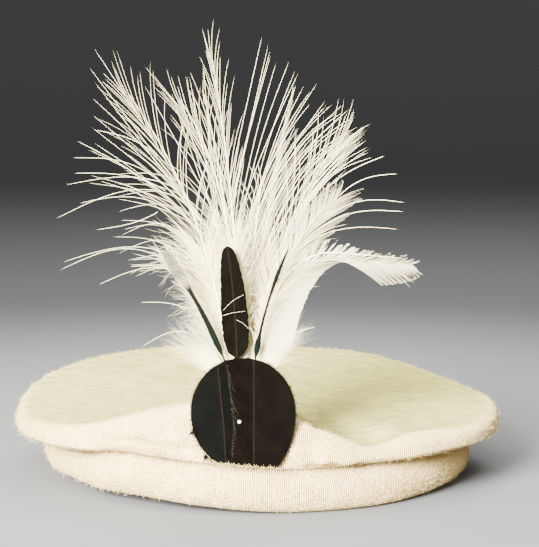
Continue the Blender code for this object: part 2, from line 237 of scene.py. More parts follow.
Crown = namedtuple("Crown", "azimuth edge_reach edge_height droop ridge_reach ridge_height")
CROWN_SECTIONS = (
    Crown(-180, 1.00, 0.70, 0.04, 0.93, 1.00),
    Crown(-150, 1.00, 0.69, 0.04, 0.92, 1.02),
    Crown(-120, 1.00, 0.66, 0.05, 0.92, 0.98),
    Crown(-90, 1.00, 0.59, 0.06, 0.94, 0.83),
    Crown(-70, 0.99, 0.56, 0.02, 0.94, 0.74),
    Crown(-52, 0.94, 0.58, 0.06, 0.87, 0.78),
    Crown(-38, 0.89, 0.66, 0.00, 0.82, 0.93),
    Crown(-22, 0.84, 0.72, 0.00, 0.77, 1.09),
    Crown(-8, 0.82, 0.70, 0.00, 0.75, 1.14),
    Crown(8, 0.83, 0.64, 0.00, 0.77, 1.02),
    Crown(18, 0.86, 0.60, 0.00, 0.79, 0.84),
    Crown(33, 0.89, 0.54, 0.00, 0.83, 0.66),
    Crown(46, 0.93, 0.56, 0.00, 0.86, 0.73),
    Crown(62, 0.97, 0.55, 0.00, 0.90, 0.70),
    Crown(90, 1.00, 0.57, 0.05, 0.94, 0.76),
    Crown(115, 0.975, 0.60, 0.05, 0.91, 0.80),
    Crown(150, 1.00, 0.66, 0.04, 0.93, 0.95),
)

# Dents and lumps of the cloth in front, in millimetres: middle, half widths, push and slant. The
# push is outwards, and the slant is how much a lump climbs along its width.
Lump = namedtuple("Lump", "across height half_width half_height push slant")
CLOTH_LUMPS = (
    Lump(33, 30, 7, 3.5, 4.4, 0.05),
    Lump(22, 29, 3.5, 3, 3.2, -0.6),
    Lump(45, 28, 6, 3, 3.4, -0.25),
    Lump(27, 36, 5, 4, -1.4, 0.5),
    Lump(38, 34.5, 9, 1.6, -1.2, -0.2),
    Lump(58, 33, 9, 2.6, -1.8, 0.12),
    Lump(-58, 34, 16, 2.2, -1.2, -0.10),
    Lump(-46, 38, 14, 2.4, 1.0, 0.14),
    Lump(-34, 33, 9, 2.0, -0.9, 0.2),
    Lump(-72, 38, 12, 3.2, 0.9, 0.05),
)

Lap = namedtuple("Lap", "up fray left_shaft right_shaft")
BADGE_LAPS = (
    Lap(0.00, -0.115, -0.165, 0.10),
    Lap(0.35, -0.090, -0.185, 0.10),
    Lap(0.65, -0.120, -0.215, 0.10),
    Lap(1.00, -0.165, -0.250, 0.10),
)

# A white feather's seat, layer, angles and lengths, and how it is made: how many loose barbs grow
# on each side, how much down is at its foot, how much of its barbs holds together as a web, how far
# up the web goes, where the vane ends on the shaft, and how yellow its tip is.
Plume = namedtuple(
    "Plume",
    "name seat layer start end bend length left right low_spread high_spread"
    " barbs down web web_end tip tint",
)
PLUME = (
    Plume("plume_left_outer", -4, 3, -1, -41, 1.0, 1.01, 0.31, 0.30, 84, 14, 30, 700, 0.26, 0.36, 0.88, 0.7),
    Plume("plume_left_inner", -3, 6, 1, -50, 2.2, 0.97, 0.34, 0.28, 58, 13, 24, 420, 0.34, 0.34, 0.86, 0.6),
    Plume("plume_left_tip", -2, 8, 3, -15, 0.7, 0.97, 0.28, 0.22, 40, 12, 13, 120, 0.38, 0.32, 0.86, 0.5),
    Plume("plume_centre", -1, 1, 1, -11, 0.9, 1.05, 0.22, 0.25, 36, 9, 27, 100, 0.5, 0.40, 0.88, 0.4),
    Plume("plume_right_inner", 0, 5, 2, 11, 1.1, 0.90, 0.18, 0.42, 46, 26, 26, 80, 0.42, 0.32, 0.66, 0.1),
    Plume("plume_back", 1, 9, 4, 14, 1.1, 0.92, 0.07, 0.07, 26, 9, 20, 20, 0.9, 1.5, 0.93, 1.6),
    Plume("plume_webbed", 2, 4, 0, 49, 1.0, 0.66, 0.15, 0.19, 50, 26, 14, 20, 1.0, 1.5, 0.92, 0.5),
    Plume("plume_right_outer", 3, 7, -1, 43, 1.0, 0.84, 0.32, 0.30, 50, 16, 46, 40, 0.40, 0.5, 0.88, 0.2),
    Plume("plume_side", 4, 2, 2, 270, 2.5, 0.76, 0.075, 0.175, 58, 30, 12, 16, 1.0, 1.5, 0.92, 0.5),
)

# Single barbs that stand out of the plume, as shares of its length across and up the badge's
# plane: where each one leaves the plume and where its tip is, how far it bows upwards, and how
# far in front of the narrow feathers it lies, in metres.
Stray = namedtuple("Stray", "foot_across foot_up tip_across tip_up bow front")
STRAYS = (
    Stray(-0.144, 0.689, -0.493, 0.653, 0.055, -0.003),
    Stray(-0.165, 0.726, -0.467, 0.742, 0.030, -0.003),
    Stray(-0.173, 0.702, -0.446, 0.813, 0.045, -0.003),
    Stray(-0.204, 0.726, -0.448, 0.773, 0.020, -0.003),
    Stray(-0.225, 0.726, -0.435, 0.857, 0.010, -0.003),
    Stray(-0.225, 0.818, -0.388, 0.886, 0.015, -0.003),
    Stray(-0.178, 0.660, -0.430, 0.694, 0.035, -0.003),
    Stray(-0.191, 0.556, -0.480, 0.537, 0.030, -0.002),
    Stray(-0.204, 0.537, -0.487, 0.516, 0.045, -0.002),
    Stray(-0.225, 0.671, -0.388, 0.624, -0.010, 0.000),
    Stray(-0.191, 0.516, -0.385, 0.477, 0.020, -0.002),
    Stray(-0.139, 0.410, -0.273, 0.430, 0.010, 0.000),
    Stray(-0.139, 0.346, -0.270, 0.312, 0.020, 0.000),
    Stray(0.149, 0.574, 0.417, 0.624, 0.030, -0.003),
    Stray(0.202, 0.626, 0.427, 0.671, 0.025, -0.003),
    Stray(0.228, 0.660, 0.430, 0.695, 0.025, -0.003),
    Stray(0.254, 0.713, 0.409, 0.771, 0.020, -0.003),
    Stray(0.228, 0.739, 0.372, 0.818, 0.010, -0.003),
    Stray(0.115, 0.346, 0.191, 0.367, 0.000, 0.000),
    Stray(-0.052, 0.411, 0.003, 0.453, 0.006, 0.0022),
    Stray(-0.055, 0.396, 0.008, 0.409, 0.003, 0.0022),
    Stray(-0.018, 0.385, 0.018, 0.359, 0.004, 0.0022),
)

# Fans of single barbs between a first and a last one, each given as in a Stray without its front.
Fan = namedtuple("Fan", "count first last")
FANS = (
    Fan(9, (-0.040, 0.72, 0.045, 1.107, 0.012), (0.000, 0.62, 0.150, 1.030, 0.040)),
    Fan(12, (-0.010, 0.62, 0.165, 1.010, 0.050), (0.050, 0.54, 0.300, 0.880, 0.080)),
    Fan(12, (0.030, 0.60, 0.270, 0.960, 0.060), (0.110, 0.56, 0.345, 0.820, 0.050)),
    Fan(11, (-0.100, 0.62, -0.392, 1.080, 0.010), (-0.090, 0.62, -0.400, 0.720, 0.050)),
    Fan(10, (-0.085, 0.66, -0.330, 0.760, 0.040), (-0.110, 0.50, -0.330, 0.560, 0.050)),
    Fan(10, (-0.090, 0.52, -0.300, 0.560, 0.030), (-0.100, 0.44, -0.300, 0.500, 0.040)),
    Fan(7, (-0.060, 0.62, -0.230, 1.000, 0.000), (-0.060, 0.60, -0.080, 1.060, 0.000)),
)

# Stains on the wool in front, and in the thin rows lines of painted shade along creases: place
# and half sizes across and up, in metres, and strength.
StainAndShadeSpot = namedtuple("StainAndShadeSpot", "across height half_width half_height strength")
STAINS_AND_CREASE_SHADE = (
    StainAndShadeSpot(-0.048, 0.0275, 0.016, 0.0035, 0.35),
    StainAndShadeSpot(0.060, 0.0245, 0.009, 0.0020, 0.45),
    StainAndShadeSpot(0.024, 0.0290, 0.010, 0.0040, 0.30),
    StainAndShadeSpot(0.000, 0.0215, 0.045, 0.0030, 0.18),
    StainAndShadeSpot(0.0285, 0.0270, 0.0009, 0.0036, 0.45),
    StainAndShadeSpot(0.0350, 0.0255, 0.0045, 0.0009, 0.45),
    StainAndShadeSpot(0.0405, 0.0280, 0.0008, 0.0030, 0.40),
    StainAndShadeSpot(0.0500, 0.0310, 0.0008, 0.0040, 0.35),
    StainAndShadeSpot(-0.0600, 0.0310, 0.0140, 0.0007, 0.35),
    StainAndShadeSpot(-0.0520, 0.0345, 0.0090, 0.0006, 0.25),
)

# Painted shadow in deep gaps of the seam right of the badge: near-black spots, given as rows
# like the stains.
SEAM_SHADOW_SPOTS = (
    StainAndShadeSpot(0.0490, 0.0243, 0.0085, 0.0017, 0.90),
    StainAndShadeSpot(0.0375, 0.0240, 0.0045, 0.0008, 0.50),
    StainAndShadeSpot(0.0690, 0.0240, 0.0110, 0.0008, 0.50),
    StainAndShadeSpot(0.0870, 0.0236, 0.0100, 0.0010, 0.60),
)

# Stains and spots of painted shade show on the front of the cap alone. They fade in from the first place to
# the second.
SPOTTED_FROM = -0.04
SPOTTED_TO = -0.06

FLOOR_RING = {"vertices": 96, "radius": 2.4, "fill_type": "NGON"}
COVE = 0.9
WALL = 2.2
CAMERA_RISE = 6.6
CAMERA_TARGET = (0.0065, SETBACK, 0.1095)
CAMERA_DISTANCE = 1.0
CAMERA_LENS = 117.0
LIT_PLACE = (0.0, SETBACK, 0.08)
AIR_COLOUR = (1.0, 0.98, 0.95, 1.0)
AIR_STRENGTH = 0.65

# A light's place is its azimuth, elevation and distance from the cap.
Lamp = namedtuple("Lamp", "name azimuth elevation distance size power")
LAMPS = (
    Lamp("key_light", -30, 22, 1.6, 0.7, 365),
    Lamp("fill_light", 48, 46, 1.8, 1.4, 20),
    Lamp("top_light", -60, 65, 1.6, 1.2, 60),
    Lamp("back_light", 160, 50, 1.6, 1.0, 42),
)


def eased(turns, values):
    """The value at turn 0 of a smooth curve through four values, which never overshoots them."""
    steps = [turns[i + 1] - turns[i] for i in range(3)]
    grades = [(values[i + 1] - values[i]) / steps[i] for i in range(3)]
    slopes = [2 * a * b / (a + b) if a * b > 0 else 0.0 for a, b in zip(grades, grades[1:])]
    t = -turns[1] / steps[1]
    from_first = values[1] * (1 + 2 * t) + slopes[0] * steps[1] * t
    from_second = values[2] * (3 - 2 * t) - slopes[1] * steps[1] * (1 - t)
    return from_first * (1 - t) ** 2 + from_second * t**2


def around(sections, azimuth):
    """A table's row at any azimuth, read smoothly between its rows."""
    first = sections[0].azimuth
    azimuth = (azimuth - first) % 360 + first
    later = sum(row.azimuth <= azimuth for row in sections)
    four = [sections[(later + step) % len(sections)] for step in (-2, -1, 0, 1)]
    turns = [(row.azimuth - azimuth + 180) % 360 - 180 for row in four]
    turns[1] = -((azimuth - four[1].azimuth) % 360)
    columns = [eased(turns, values) for values in list(zip(*four))[1:]]
    return type(sections[0])(azimuth, *columns)


def roll_point(azimuth, angle, clear=0.0):
    """A reach and height on the roll's skin, or clear of it. Angle 0 faces out, 90 up."""
    section = around(ROLL_SECTIONS, azimuth)
    ring = HEAD_GIRTH / math.tau + CLOTH + GAP + ROLL_WIDTH / 2
    turn = math.radians(angle)
    across = section.girth * ROLL_WIDTH / 2 + clear
    up = section.girth * (ROLL_HEIGHT - ROLL_MIDDLE) + clear
    reach = ring * section.reach + across * math.cos(turn)
    height = max(ROLL_MIDDLE + up * math.sin(turn), 0.0)
    return reach, height + section.lift * ROLL_HEIGHT


def crown_profile(azimuth):
    """Reaches and heights of the crown's outer skin, from the band's foot to the middle."""
    section = around(CROWN_SECTIONS, azimuth)
    edge = (section.edge_reach * CROWN_WIDTH / 2, section.edge_height * CROWN_HEIGHT)
    ridge = (section.ridge_reach * CROWN_WIDTH / 2, section.ridge_height * CROWN_HEIGHT)
    band = roll_point(azimuth, 180, GAP)
    lift = around(ROLL_SECTIONS, azimuth).lift * ROLL_HEIGHT
    points = [(band[0], BAND_FOOT + lift)]
    points += [roll_point(azimuth, angle, GAP) for angle in range(180, GROOVE_ANGLE - 1, -30)]
    groove = points[-1]
    for turn in (math.radians(degrees) for degrees in (45, 70, 90)):
        reach = groove[0] + (edge[0] - groove[0]) * math.sin(turn)
        droop = section.droop * CROWN_HEIGHT * math.sin(2 * turn)
        points.append((reach, edge[1] - (edge[1] - groove[1]) * math.cos(turn) - droop))
    for turn in (math.radians(degrees) for degrees in (25, 50, 75)):
        reach = ridge[0] + (edge[0] - ridge[0]) * math.cos(turn) ** CORNER
        points.append((reach, edge[1] + (ridge[1] - edge[1]) * math.sin(turn) ** CORNER))
    for part in (0.97, 0.85, 0.65, 0.40, 0.18):
        rise = part * part * (3 - 2 * part)
        height = CROWN_CENTRE_HEIGHT + (ridge[1] - CROWN_CENTRE_HEIGHT) * rise
        points.append((ridge[0] * part, height))
    points.append((0.0, CROWN_CENTRE_HEIGHT))
    return points


def smoothed(points, parts):
    """Points on a smooth curve through the given ones, parts to each stretch."""
    ends = [points[0], *points, points[-1]]
    made = []
    for a, b, c, d in zip(ends, ends[1:], ends[2:], ends[3:]):
        for step in range(parts):
            t = step / parts
            made.append(
                tuple(
                    q + 0.5 * t * (r - p + t * (2 * p - 5 * q + 4 * r - s + t * (3 * (q - r) + s - p)))
                    for p, q, r, s in zip(a, b, c, d)
                )
            )
    made.append(points[-1])
    return made


def on_cap(azimuth, reach, height):
    """The place of a reach and a height at an azimuth."""
    turn = math.radians(azimuth)
    return Vector((reach * math.sin(turn), SETBACK - reach * math.cos(turn), height))


def badge_foot():
    """The middle of the badge's foot, on the roll and in front of the crown's wall."""
    reach = max(point[0] for point in crown_profile(BADGE_AZIMUTH)) + GAP + VANE / 2
    return on_cap(BADGE_AZIMUTH, reach, roll_point(BADGE_AZIMUTH, 90, GAP)[1])


BADGE_FOOT = badge_foot()
LEAN = math.radians(BADGE_LEAN)


def on_badge(across, up, behind=0.0):
    """Places across and up the badge's plane, and behind it. It takes numbers or arrays."""
    x = BADGE_FOOT.x + across
    y = BADGE_FOOT.y + up * math.sin(LEAN) + behind * math.cos(LEAN)
    z = BADGE_FOOT.z + up * math.cos(LEAN) - behind * math.sin(LEAN)
    return np.stack(np.broadcast_arrays(x, y, z), axis=-1)


def on_layer(across, up, layer, behind=0.0):
    """Places on one layer of the fan of feathers behind the badge. Layer 0 stands in front."""
    row = LEAF_DEPTH + (QUILL + GAP if layer else 0.0)
    rise = np.maximum(up - QUILL_FOOT, 0.0)
    back = rise * math.tan(math.radians(LAYER_LEAN * layer))
    return on_badge(across, up, row + back - PLUME_ARCH * (rise / PLUME_LENGTH) ** 2 + behind)


def shaft_line(seat, start, end, bend, length, steps):
    """Places and angles along a feather's shaft, across and up its layer from its quill's foot."""
    across, up = seat * QUILL_PITCH, QUILL_FOOT
    line = []
    for index in range(steps + 1):
        angle = math.radians(min(start + (end - start) * (index / steps) ** bend, LEVEL))
        line.append((across, up, angle))
        across += length / steps * math.sin(angle)
        up += length / steps * math.cos(angle)
    return np.array(line)


def badge_edge(up, side):
    """How far the badge's round outline reaches to one side at a height: a flat-footed round."""
    middle = BADGE_HEIGHT * BADGE_WIDEST
    low = BADGE_HEIGHT * (BADGE_LOW_LEFT if side < 0 else BADGE_LOW_RIGHT)
    share = (up - middle) / (BADGE_HEIGHT - middle if up > middle else low)
    return side * BADGE_WIDTH / 2 * math.sqrt(max(1 - share * share, 0.0))


def badge_lap(up):
    """The fray and the shafts at a height on the badge, as distances across it."""
    share = up / BADGE_HEIGHT
    low = [row for row in BADGE_LAPS if row.up <= share][-1]
    high = [row for row in BADGE_LAPS if row.up > share or row is BADGE_LAPS[-1]][0]
    part = (share - low.up) / (high.up - low.up) if high is not low else 0.0
    return [(a + (b - a) * part) * BADGE_WIDTH for a, b in zip(low[1:], high[1:])]


def badge_rise(across):
    """How much higher the badge's foot lies at a place across it: it slants up to the left."""
    return BADGE_SLANT * swept(*BADGE_SLANT_SPAN, across) - BADGE_DROP


class Field:
    """A number that changes over a surface. Arithmetic on it adds Math nodes."""

    def __init__(self, finish, socket):
        self.finish = finish
        self.socket = socket

    def __add__(self, other):
        return self.finish.maths("ADD", self, other)

    def __sub__(self, other):
        return self.finish.maths("SUBTRACT", self, other)

    def __rsub__(self, other):
        return self.finish.maths("SUBTRACT", other, self)

    def __mul__(self, other):
        return self.finish.maths("MULTIPLY", self, other)

    def __truediv__(self, other):
        return self.finish.maths("DIVIDE", self, other)


class Finish:
    """A material under construction: a Principled shader and the nodes that feed it."""

    def __init__(self, name, **constants):
        self.material = bpy.data.materials.new(name)
        self.material.use_nodes = True
        self.tree = self.material.node_tree
        self.shader = self.tree.nodes["Principled BSDF"]
        for socket, value in constants.items():
            self.shader.inputs[socket.replace("_", " ")].default_value = value
        self.place = self.node("ShaderNodeTexCoord").outputs["Object"]

    def node(self, kind, settings=None, inputs=None):
        """Any node: its type, its settings and the values or links of its sockets."""
        made = self.tree.nodes.new(kind)
        for key, value in (settings or {}).items():
            setattr(made, key, value)
        for key, value in (inputs or {}).items():
            self.join(value, made.inputs[key])
        return made

    def join(self, value, socket):
        if isinstance(value, Field):
            value = value.socket
        if isinstance(value, bpy.types.NodeSocket):
            self.tree.links.new(value, socket)
        elif socket.type == "RGBA":
            socket.default_value = (*value, 1.0)
        else:
            socket.default_value = value

    def maths(self, operation, *values):
        settings = {"operation": operation}
        return Field(self, self.node("ShaderNodeMath", settings, dict(enumerate(values))).outputs[0])

    def limited(self, value, low, high, first=0.0, last=1.0):
        """A value mapped smoothly from low..high to first..last."""
        inputs = {"Value": value, "From Min": low, "From Max": high, "To Min": first, "To Max": last}
        settings = {"interpolation_type": "SMOOTHSTEP"}
        return Field(self, self.node("ShaderNodeMapRange", settings, inputs).outputs["Result"])

    def mark(self):
        """The three numbers that a strand or a web keeps at each of its places."""
        return self.node("ShaderNodeAttribute", {"attribute_name": "strand"}).outputs["Vector"]

    def axes(self, vector):
        outputs = self.node("ShaderNodeSeparateXYZ", None, {"Vector": vector}).outputs
        return [Field(self, outputs[axis]) for axis in "XYZ"]

    def scaled(self, vector, factors):
        settings = {"operation": "MULTIPLY"}
        return self.node("ShaderNodeVectorMath", settings, {0: vector, 1: factors}).outputs[0]

    def noise(self, scale, detail=2.0, vector=None, roughness=0.5):
        inputs = {
            "Vector": self.place if vector is None else vector,
            "Scale": scale,
            "Detail": detail,
            "Roughness": roughness,
        }
        return Field(self, self.node("ShaderNodeTexNoise", None, inputs).outputs["Fac"])

    def mixed(self, mask, first, second):
        """One colour where the mask is 0 and the other where it is 1."""
        inputs = {0: mask, 6: first, 7: second}
        return self.node("ShaderNodeMix", {"data_type": "RGBA"}, inputs).outputs[2]

    def feed(self, socket, value):
        self.join(value, self.shader.inputs[socket])

    def emboss(self, height, distance):
        inputs = {"Height": height, "Distance": distance, "Strength": 1.0}
        self.feed("Normal", self.node("ShaderNodeBump", None, inputs).outputs["Normal"])


def settings():
    return bpy.context.scene.cap


def paint(piece, finish):
    piece.data.materials.clear()
    piece.data.materials.append(finish)


def kept(piece, finish, slot, *nodes):
    """Paints a piece and puts it on the cap's body in place of its CAD nodes. The slot is not used."""
    paint(piece, finish)
    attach(piece, "root")
    if nodes:
        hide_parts(*nodes)


def chosen(*pieces):
    """Selects these pieces alone and makes the first one active."""
    bpy.ops.object.select_all(action="DESELECT")
    for piece in pieces:
        piece.select_set(True)
    bpy.context.view_layer.objects.active = pieces[0]


def linked(name, mesh):
    """A new object of a mesh, in the scene and selected."""
    piece = bpy.data.objects.new(name, mesh)
    bpy.context.scene.collection.objects.link(piece)
    chosen(piece)
    return piece


def marked(piece, name, values):
    """Keeps one number or three for each vertex in an attribute."""
    kind, field = ("FLOAT", "value") if values.ndim == 1 else ("FLOAT_VECTOR", "vector")
    layer = piece.data.attributes.new(name, kind, "POINT")
    layer.data.foreach_set(field, values.astype(np.float32).ravel())


def edit_new(name, add, **where):
    """A new object from a primitive operator, in edit mode with all of it selected."""
    bpy.ops.object.select_all(action="DESELECT")
    add(**where)
    piece = bpy.context.object
    piece.name = piece.data.name = name
    bpy.ops.object.mode_set(mode="EDIT")
    bpy.ops.mesh.select_all(action="SELECT")
    return piece


def done(piece, smooth=True):
    """Leaves edit mode with the piece's place in its mesh."""
    bpy.ops.object.mode_set(mode="OBJECT")
    bpy.ops.object.transform_apply(location=True, rotation=True, scale=True)
    if smooth:
        bpy.ops.object.shade_smooth()
    return piece


def modified(piece, kind, **values):
    """Adds a modifier and applies it."""
    made = piece.modifiers.new(kind.title(), kind)
    for key, value in values.items():
        setattr(made, key, value)
    bpy.context.view_layer.objects.active = piece
    bpy.ops.object.modifier_apply(modifier=made.name)


def faced_outwards():
    """Makes the sides of the active piece's faces agree, outwards where it is closed."""
    bpy.ops.object.mode_set(mode="EDIT")
    bpy.ops.mesh.select_all(action="SELECT")
    bpy.ops.mesh.normals_make_consistent(inside=False)
    bpy.ops.object.mode_set(mode="OBJECT")


def extruded(lift, ratio, centre):
    """Extrudes the selected ring by a lift and scales its width about a centre."""
    bpy.ops.mesh.extrude_region_move(TRANSFORM_OT_translate={"value": (0.0, 0.0, lift)})
    bpy.ops.transform.resize(value=(ratio, ratio, 1.0), center_override=centre)


def subdivided(piece):
    modified(piece, "SUBSURF", levels=1, render_levels=1)


def ringed(name, profile, count):
    """A skin of revolution, extruded ring by ring from a circle on the cap's axis."""
    reach, height = profile[0]
    where = {"vertices": count, "radius": reach, "location": (0.0, SETBACK, height)}
    piece = edit_new(name, bpy.ops.mesh.primitive_circle_add, **where)
    for (before, low), (after, high) in zip(profile, profile[1:]):
        extruded(high - low, max(after, 1e-5) / before, (0.0, SETBACK, high))
    return piece


def points_of(piece):
    points = np.empty(len(piece.data.vertices) * 3)
    piece.data.vertices.foreach_get("co", points)
    return points.reshape(-1, 3)


def normals_of(piece):
    normals = np.empty(len(piece.data.vertices) * 3)
    piece.data.vertex_normals.foreach_get("vector", normals)
    return normals.reshape(-1, 3)


def set_points(piece, points):
    piece.data.vertices.foreach_set("co", points.ravel())
    piece.data.update()


def azimuths_of(points):
    return np.degrees(np.arctan2(points[:, 0], SETBACK - points[:, 1]))


def reaches_of(points):
    return np.hypot(points[:, 0], points[:, 1] - SETBACK)


def by_degree(azimuths, value_at):
    """A value for each azimuth, worked out once for each whole degree."""
    degrees = np.round(azimuths).astype(int)
    made = {degree: value_at(degree) for degree in np.unique(degrees)}
    return np.array([made[degree] for degree in degrees])


def fit_rings(piece, count, profile_at):
    """Moves each ring's vertices to the profile at their own azimuths."""
    points = points_of(piece)
    rings = np.arange(len(points)) // count
    made = {}
    for index, azimuth in enumerate(azimuths_of(points)):
        key = round(float(azimuth) * count / 360) * 360 / count
        if key not in made:
            made[key] = profile_at(key)
        if np.hypot(points[index, 0], points[index, 1] - SETBACK) > 1e-4:
            points[index] = on_cap(key, *made[key][rings[index]])
    set_points(piece, points)


def rumpled(points, waves):
    """How far a table's waves push each point out, in metres."""
    push = np.zeros(len(points))
    for wave in waves:
        shift = Vector((wave.seed * 7.3, wave.seed * 3.1, wave.seed * 5.7))
        places = points * np.array([1.0, 1.0, wave.flatness])
        heights = [noise.noise(Vector(place) / wave.grain + shift) for place in places]
        push += np.array(heights) * wave.push
    return push


def swept(start, stop, value):
    """0 below start, 1 above stop, and smooth between them."""
    share = np.clip((value - start) / (stop - start), 0.0, 1.0)
    return share * share * (3 - 2 * share)


def cloth_push(points, azimuths):
    """How far the cloth's lumps and dents in front stand out, in metres."""
    across, height = points[:, 0] * 1000, points[:, 2] * 1000
    push = np.zeros(len(points))
    for lump in CLOTH_LUMPS:
        u = (across - lump.across) / lump.half_width
        v = (height - lump.height - lump.slant * (across - lump.across)) / lump.half_height
        push += lump.push * np.exp(-u * u - v * v) / 1000
    return push * (np.abs(azimuths) < 90)


def strands(name, paths, radii, marks, sides=3):
    """A mesh of thin closed strands along paths of shape (strand, point, 3). Each ends in a tip.

    Marks, of shape (strand, point, 3), are kept in the attribute "strand".
    """
    count, length = paths.shape[:2]
    run = np.gradient(paths, axis=1)
    run /= np.maximum(np.linalg.norm(run, axis=2, keepdims=True), 1e-9)
    across = np.cross(run, ASIDE)
    across /= np.maximum(np.linalg.norm(across, axis=2, keepdims=True), 1e-9)
    up = np.cross(run, across)
    turns = np.arange(sides) * math.tau / sides
    rings = length - 1
    ring = (
        paths[:, :rings, None]
        + across[:, :rings, None] * (np.cos(turns)[:, None] * radii[:, :rings, None, None])
        + up[:, :rings, None] * (np.sin(turns)[:, None] * radii[:, :rings, None, None])
    )
    each = rings * sides + 1
    verts = np.concatenate([ring.reshape(count, -1, 3), paths[:, -1:]], axis=1)
    low = np.arange((rings - 1) * sides).reshape(-1, sides)
    beside = np.roll(low, -1, axis=1)
    walls = np.stack([low, beside, beside + sides, low, beside + sides, low + sides], axis=-1)
    last = np.arange(sides) + (rings - 1) * sides
    tip = np.stack([last, np.roll(last, -1), np.full(sides, each - 1)], axis=-1)
    fan = np.arange(1, sides - 1)
    foot = np.stack([np.zeros_like(fan), fan + 1, fan], axis=-1)
    one = np.concatenate([walls.reshape(-1, 3), tip, foot])
    faces = (one[None] + (np.arange(count) * each)[:, None, None]).reshape(-1, 3)
    mesh = bpy.data.meshes.new(name)
    mesh.from_pydata(verts.reshape(-1, 3), [], faces)
    piece = linked(name, mesh)
    each_ring = np.repeat(marks[:, :rings], sides, axis=1)
    marked(piece, "strand", np.concatenate([each_ring, marks[:, -1:]], axis=1))
    bpy.ops.object.shade_smooth()
    return piece


def joined(piece, *others):
    """Joins the others into the piece."""
    chosen(piece, *others)
    bpy.ops.object.join()
    return piece


def roll_profile(azimuth):
    """The roll's section, round from its outermost point, with the lap of its wound edge."""
    made = []
    for index in range(ROLL_RING):
        angle = index * 360 / ROLL_RING
        lap = math.exp(-(((angle - LAP_ANGLE) / 9) ** 2)) * LAP_DEPTH
        made.append(roll_point(azimuth, angle, -lap))
    return made


# This share picks out the top, which the finish paints darker and greener as shade, where light falls on it
# less.
def lid_share(points):
    """1 on the crown's top and 0 below its ridge, crisp in front, and up to 2 just behind it."""

    def ridge_and_edge(azimuth):
        row = around(CROWN_SECTIONS, azimuth)
        return row.ridge_reach * CROWN_WIDTH / 2, row.edge_height * CROWN_HEIGHT

    azimuths = azimuths_of(points)
    ridge, edge = by_degree(azimuths, ridge_and_edge).T
    reach = reaches_of(points)
    far = np.where(azimuths < 0, swept(36, 58, -azimuths), swept(48, 70, azimuths))
    soft = 0.0006 + 0.0070 * far
    low = points[:, 2] - edge + 0.006 * far
    top = swept(1, -1, (reach - ridge + 0.0012 - 0.0060 * far) / soft) * swept(0.0, 0.004, low)
    # Past 1 lies a band just behind the ridge: painted shade in the crease, which also dents the cloth.
    return top * (1 + (1 - far) * np.exp(-(((reach - ridge + 0.0060) / 0.0055) ** 2)))


def seam_share(points, on_roll):
    """How far a place on the crown's wall or on the roll lies in the seam between the two, the mask
    of the painted shade there.
    """

    def groove(azimuth):
        return roll_point(azimuth, GROOVE_ANGLE)[1]

    reach = reaches_of(points)
    foot = points[:, 2] - by_degree(azimuths_of(points), groove)
    if on_roll:
        return swept(-SEAM * 1.3, 0.0, foot) * (reach > 0.095)
    return swept(SEAM * 1.3, SEAM * 0.2, foot) * swept(0.100, 0.104, reach)


def model_brim():
    """The roll: rings of cloth wound round the cap, closed on themselves, slack and a little wavy."""
    piece = ringed("rolled_brim_cloth", roll_profile(0), CLOTH_AROUND)
    bpy.ops.mesh.select_all(action="DESELECT")
    bpy.ops.mesh.select_non_manifold()
    bpy.ops.mesh.bridge_edge_loops()
    bpy.ops.mesh.select_all(action="SELECT")
    done(piece)
    fit_rings(piece, CLOTH_AROUND, roll_profile)
    faced_outwards()
    subdivided(piece)
    points, normals = points_of(piece), normals_of(piece)
    azimuths = azimuths_of(points)
    soft = swept(0.001, 0.006, points[:, 2])
    waves = rumpled(points, ROLL_WAVES)
    push = cloth_push(points, azimuths) * swept(0.016, 0.022, points[:, 2])
    reach = reaches_of(points)
    outside = swept(0.092, 0.102, reach)
    points += normals * ((waves * outside + push * outside) * soft)[:, None]
    points[:, 2] = np.maximum(points[:, 2], 0.0)
    set_points(piece, points)
    # The zone carries the mask of the painted shade in the seam.
    marked(piece, "zone", -seam_share(points, True))
    return piece


def model_crown():
    """The crown: a disc of cloth turned over at its edge and down into the roll."""

    def profile(azimuth):
        return smoothed(crown_profile(azimuth), CLOTH_PARTS)

    piece = ringed("crown_cloth", profile(0), CLOTH_AROUND)
    bpy.ops.mesh.merge(type="CENTER")
    bpy.ops.mesh.select_all(action="SELECT")
    bpy.ops.mesh.normals_make_consistent(inside=False)
    done(piece)
    fit_rings(piece, CLOTH_AROUND, profile)
    subdivided(piece)
    points, normals = points_of(piece), normals_of(piece)
    azimuths = azimuths_of(points)
    reach = reaches_of(points)
    free = swept(0.104, 0.112, reach) * swept(0.020, 0.030, points[:, 2])
    free = np.maximum(free, swept(0.034, 0.040, points[:, 2]))
    waves = rumpled(points, CROWN_WAVES)
    lid = lid_share(points)
    top = swept(0.6, 0.95, normals[:, 2])
    crease = np.maximum(lid - 1, 0.0) * CREASE
    push = waves * free * (1 - 0.5 * top) + cloth_push(points, azimuths) - crease
    points += normals * push[:, None]
    low_wall = swept(0.024, 0.027, points[:, 2]) * swept(0.038, 0.031, points[:, 2])
    points[:, 2] -= np.maximum(cloth_push(points, azimuths), 0.0) * low_wall * LUMP_SAG
    set_points(piece, points)
    # The zone carries the masks of the painted shade on the top, in its crease and in the seam.
    marked(piece, "zone", lid - seam_share(points, False))
    modified(piece, "SOLIDIFY", thickness=CLOTH, offset=-1.0)
    return piece


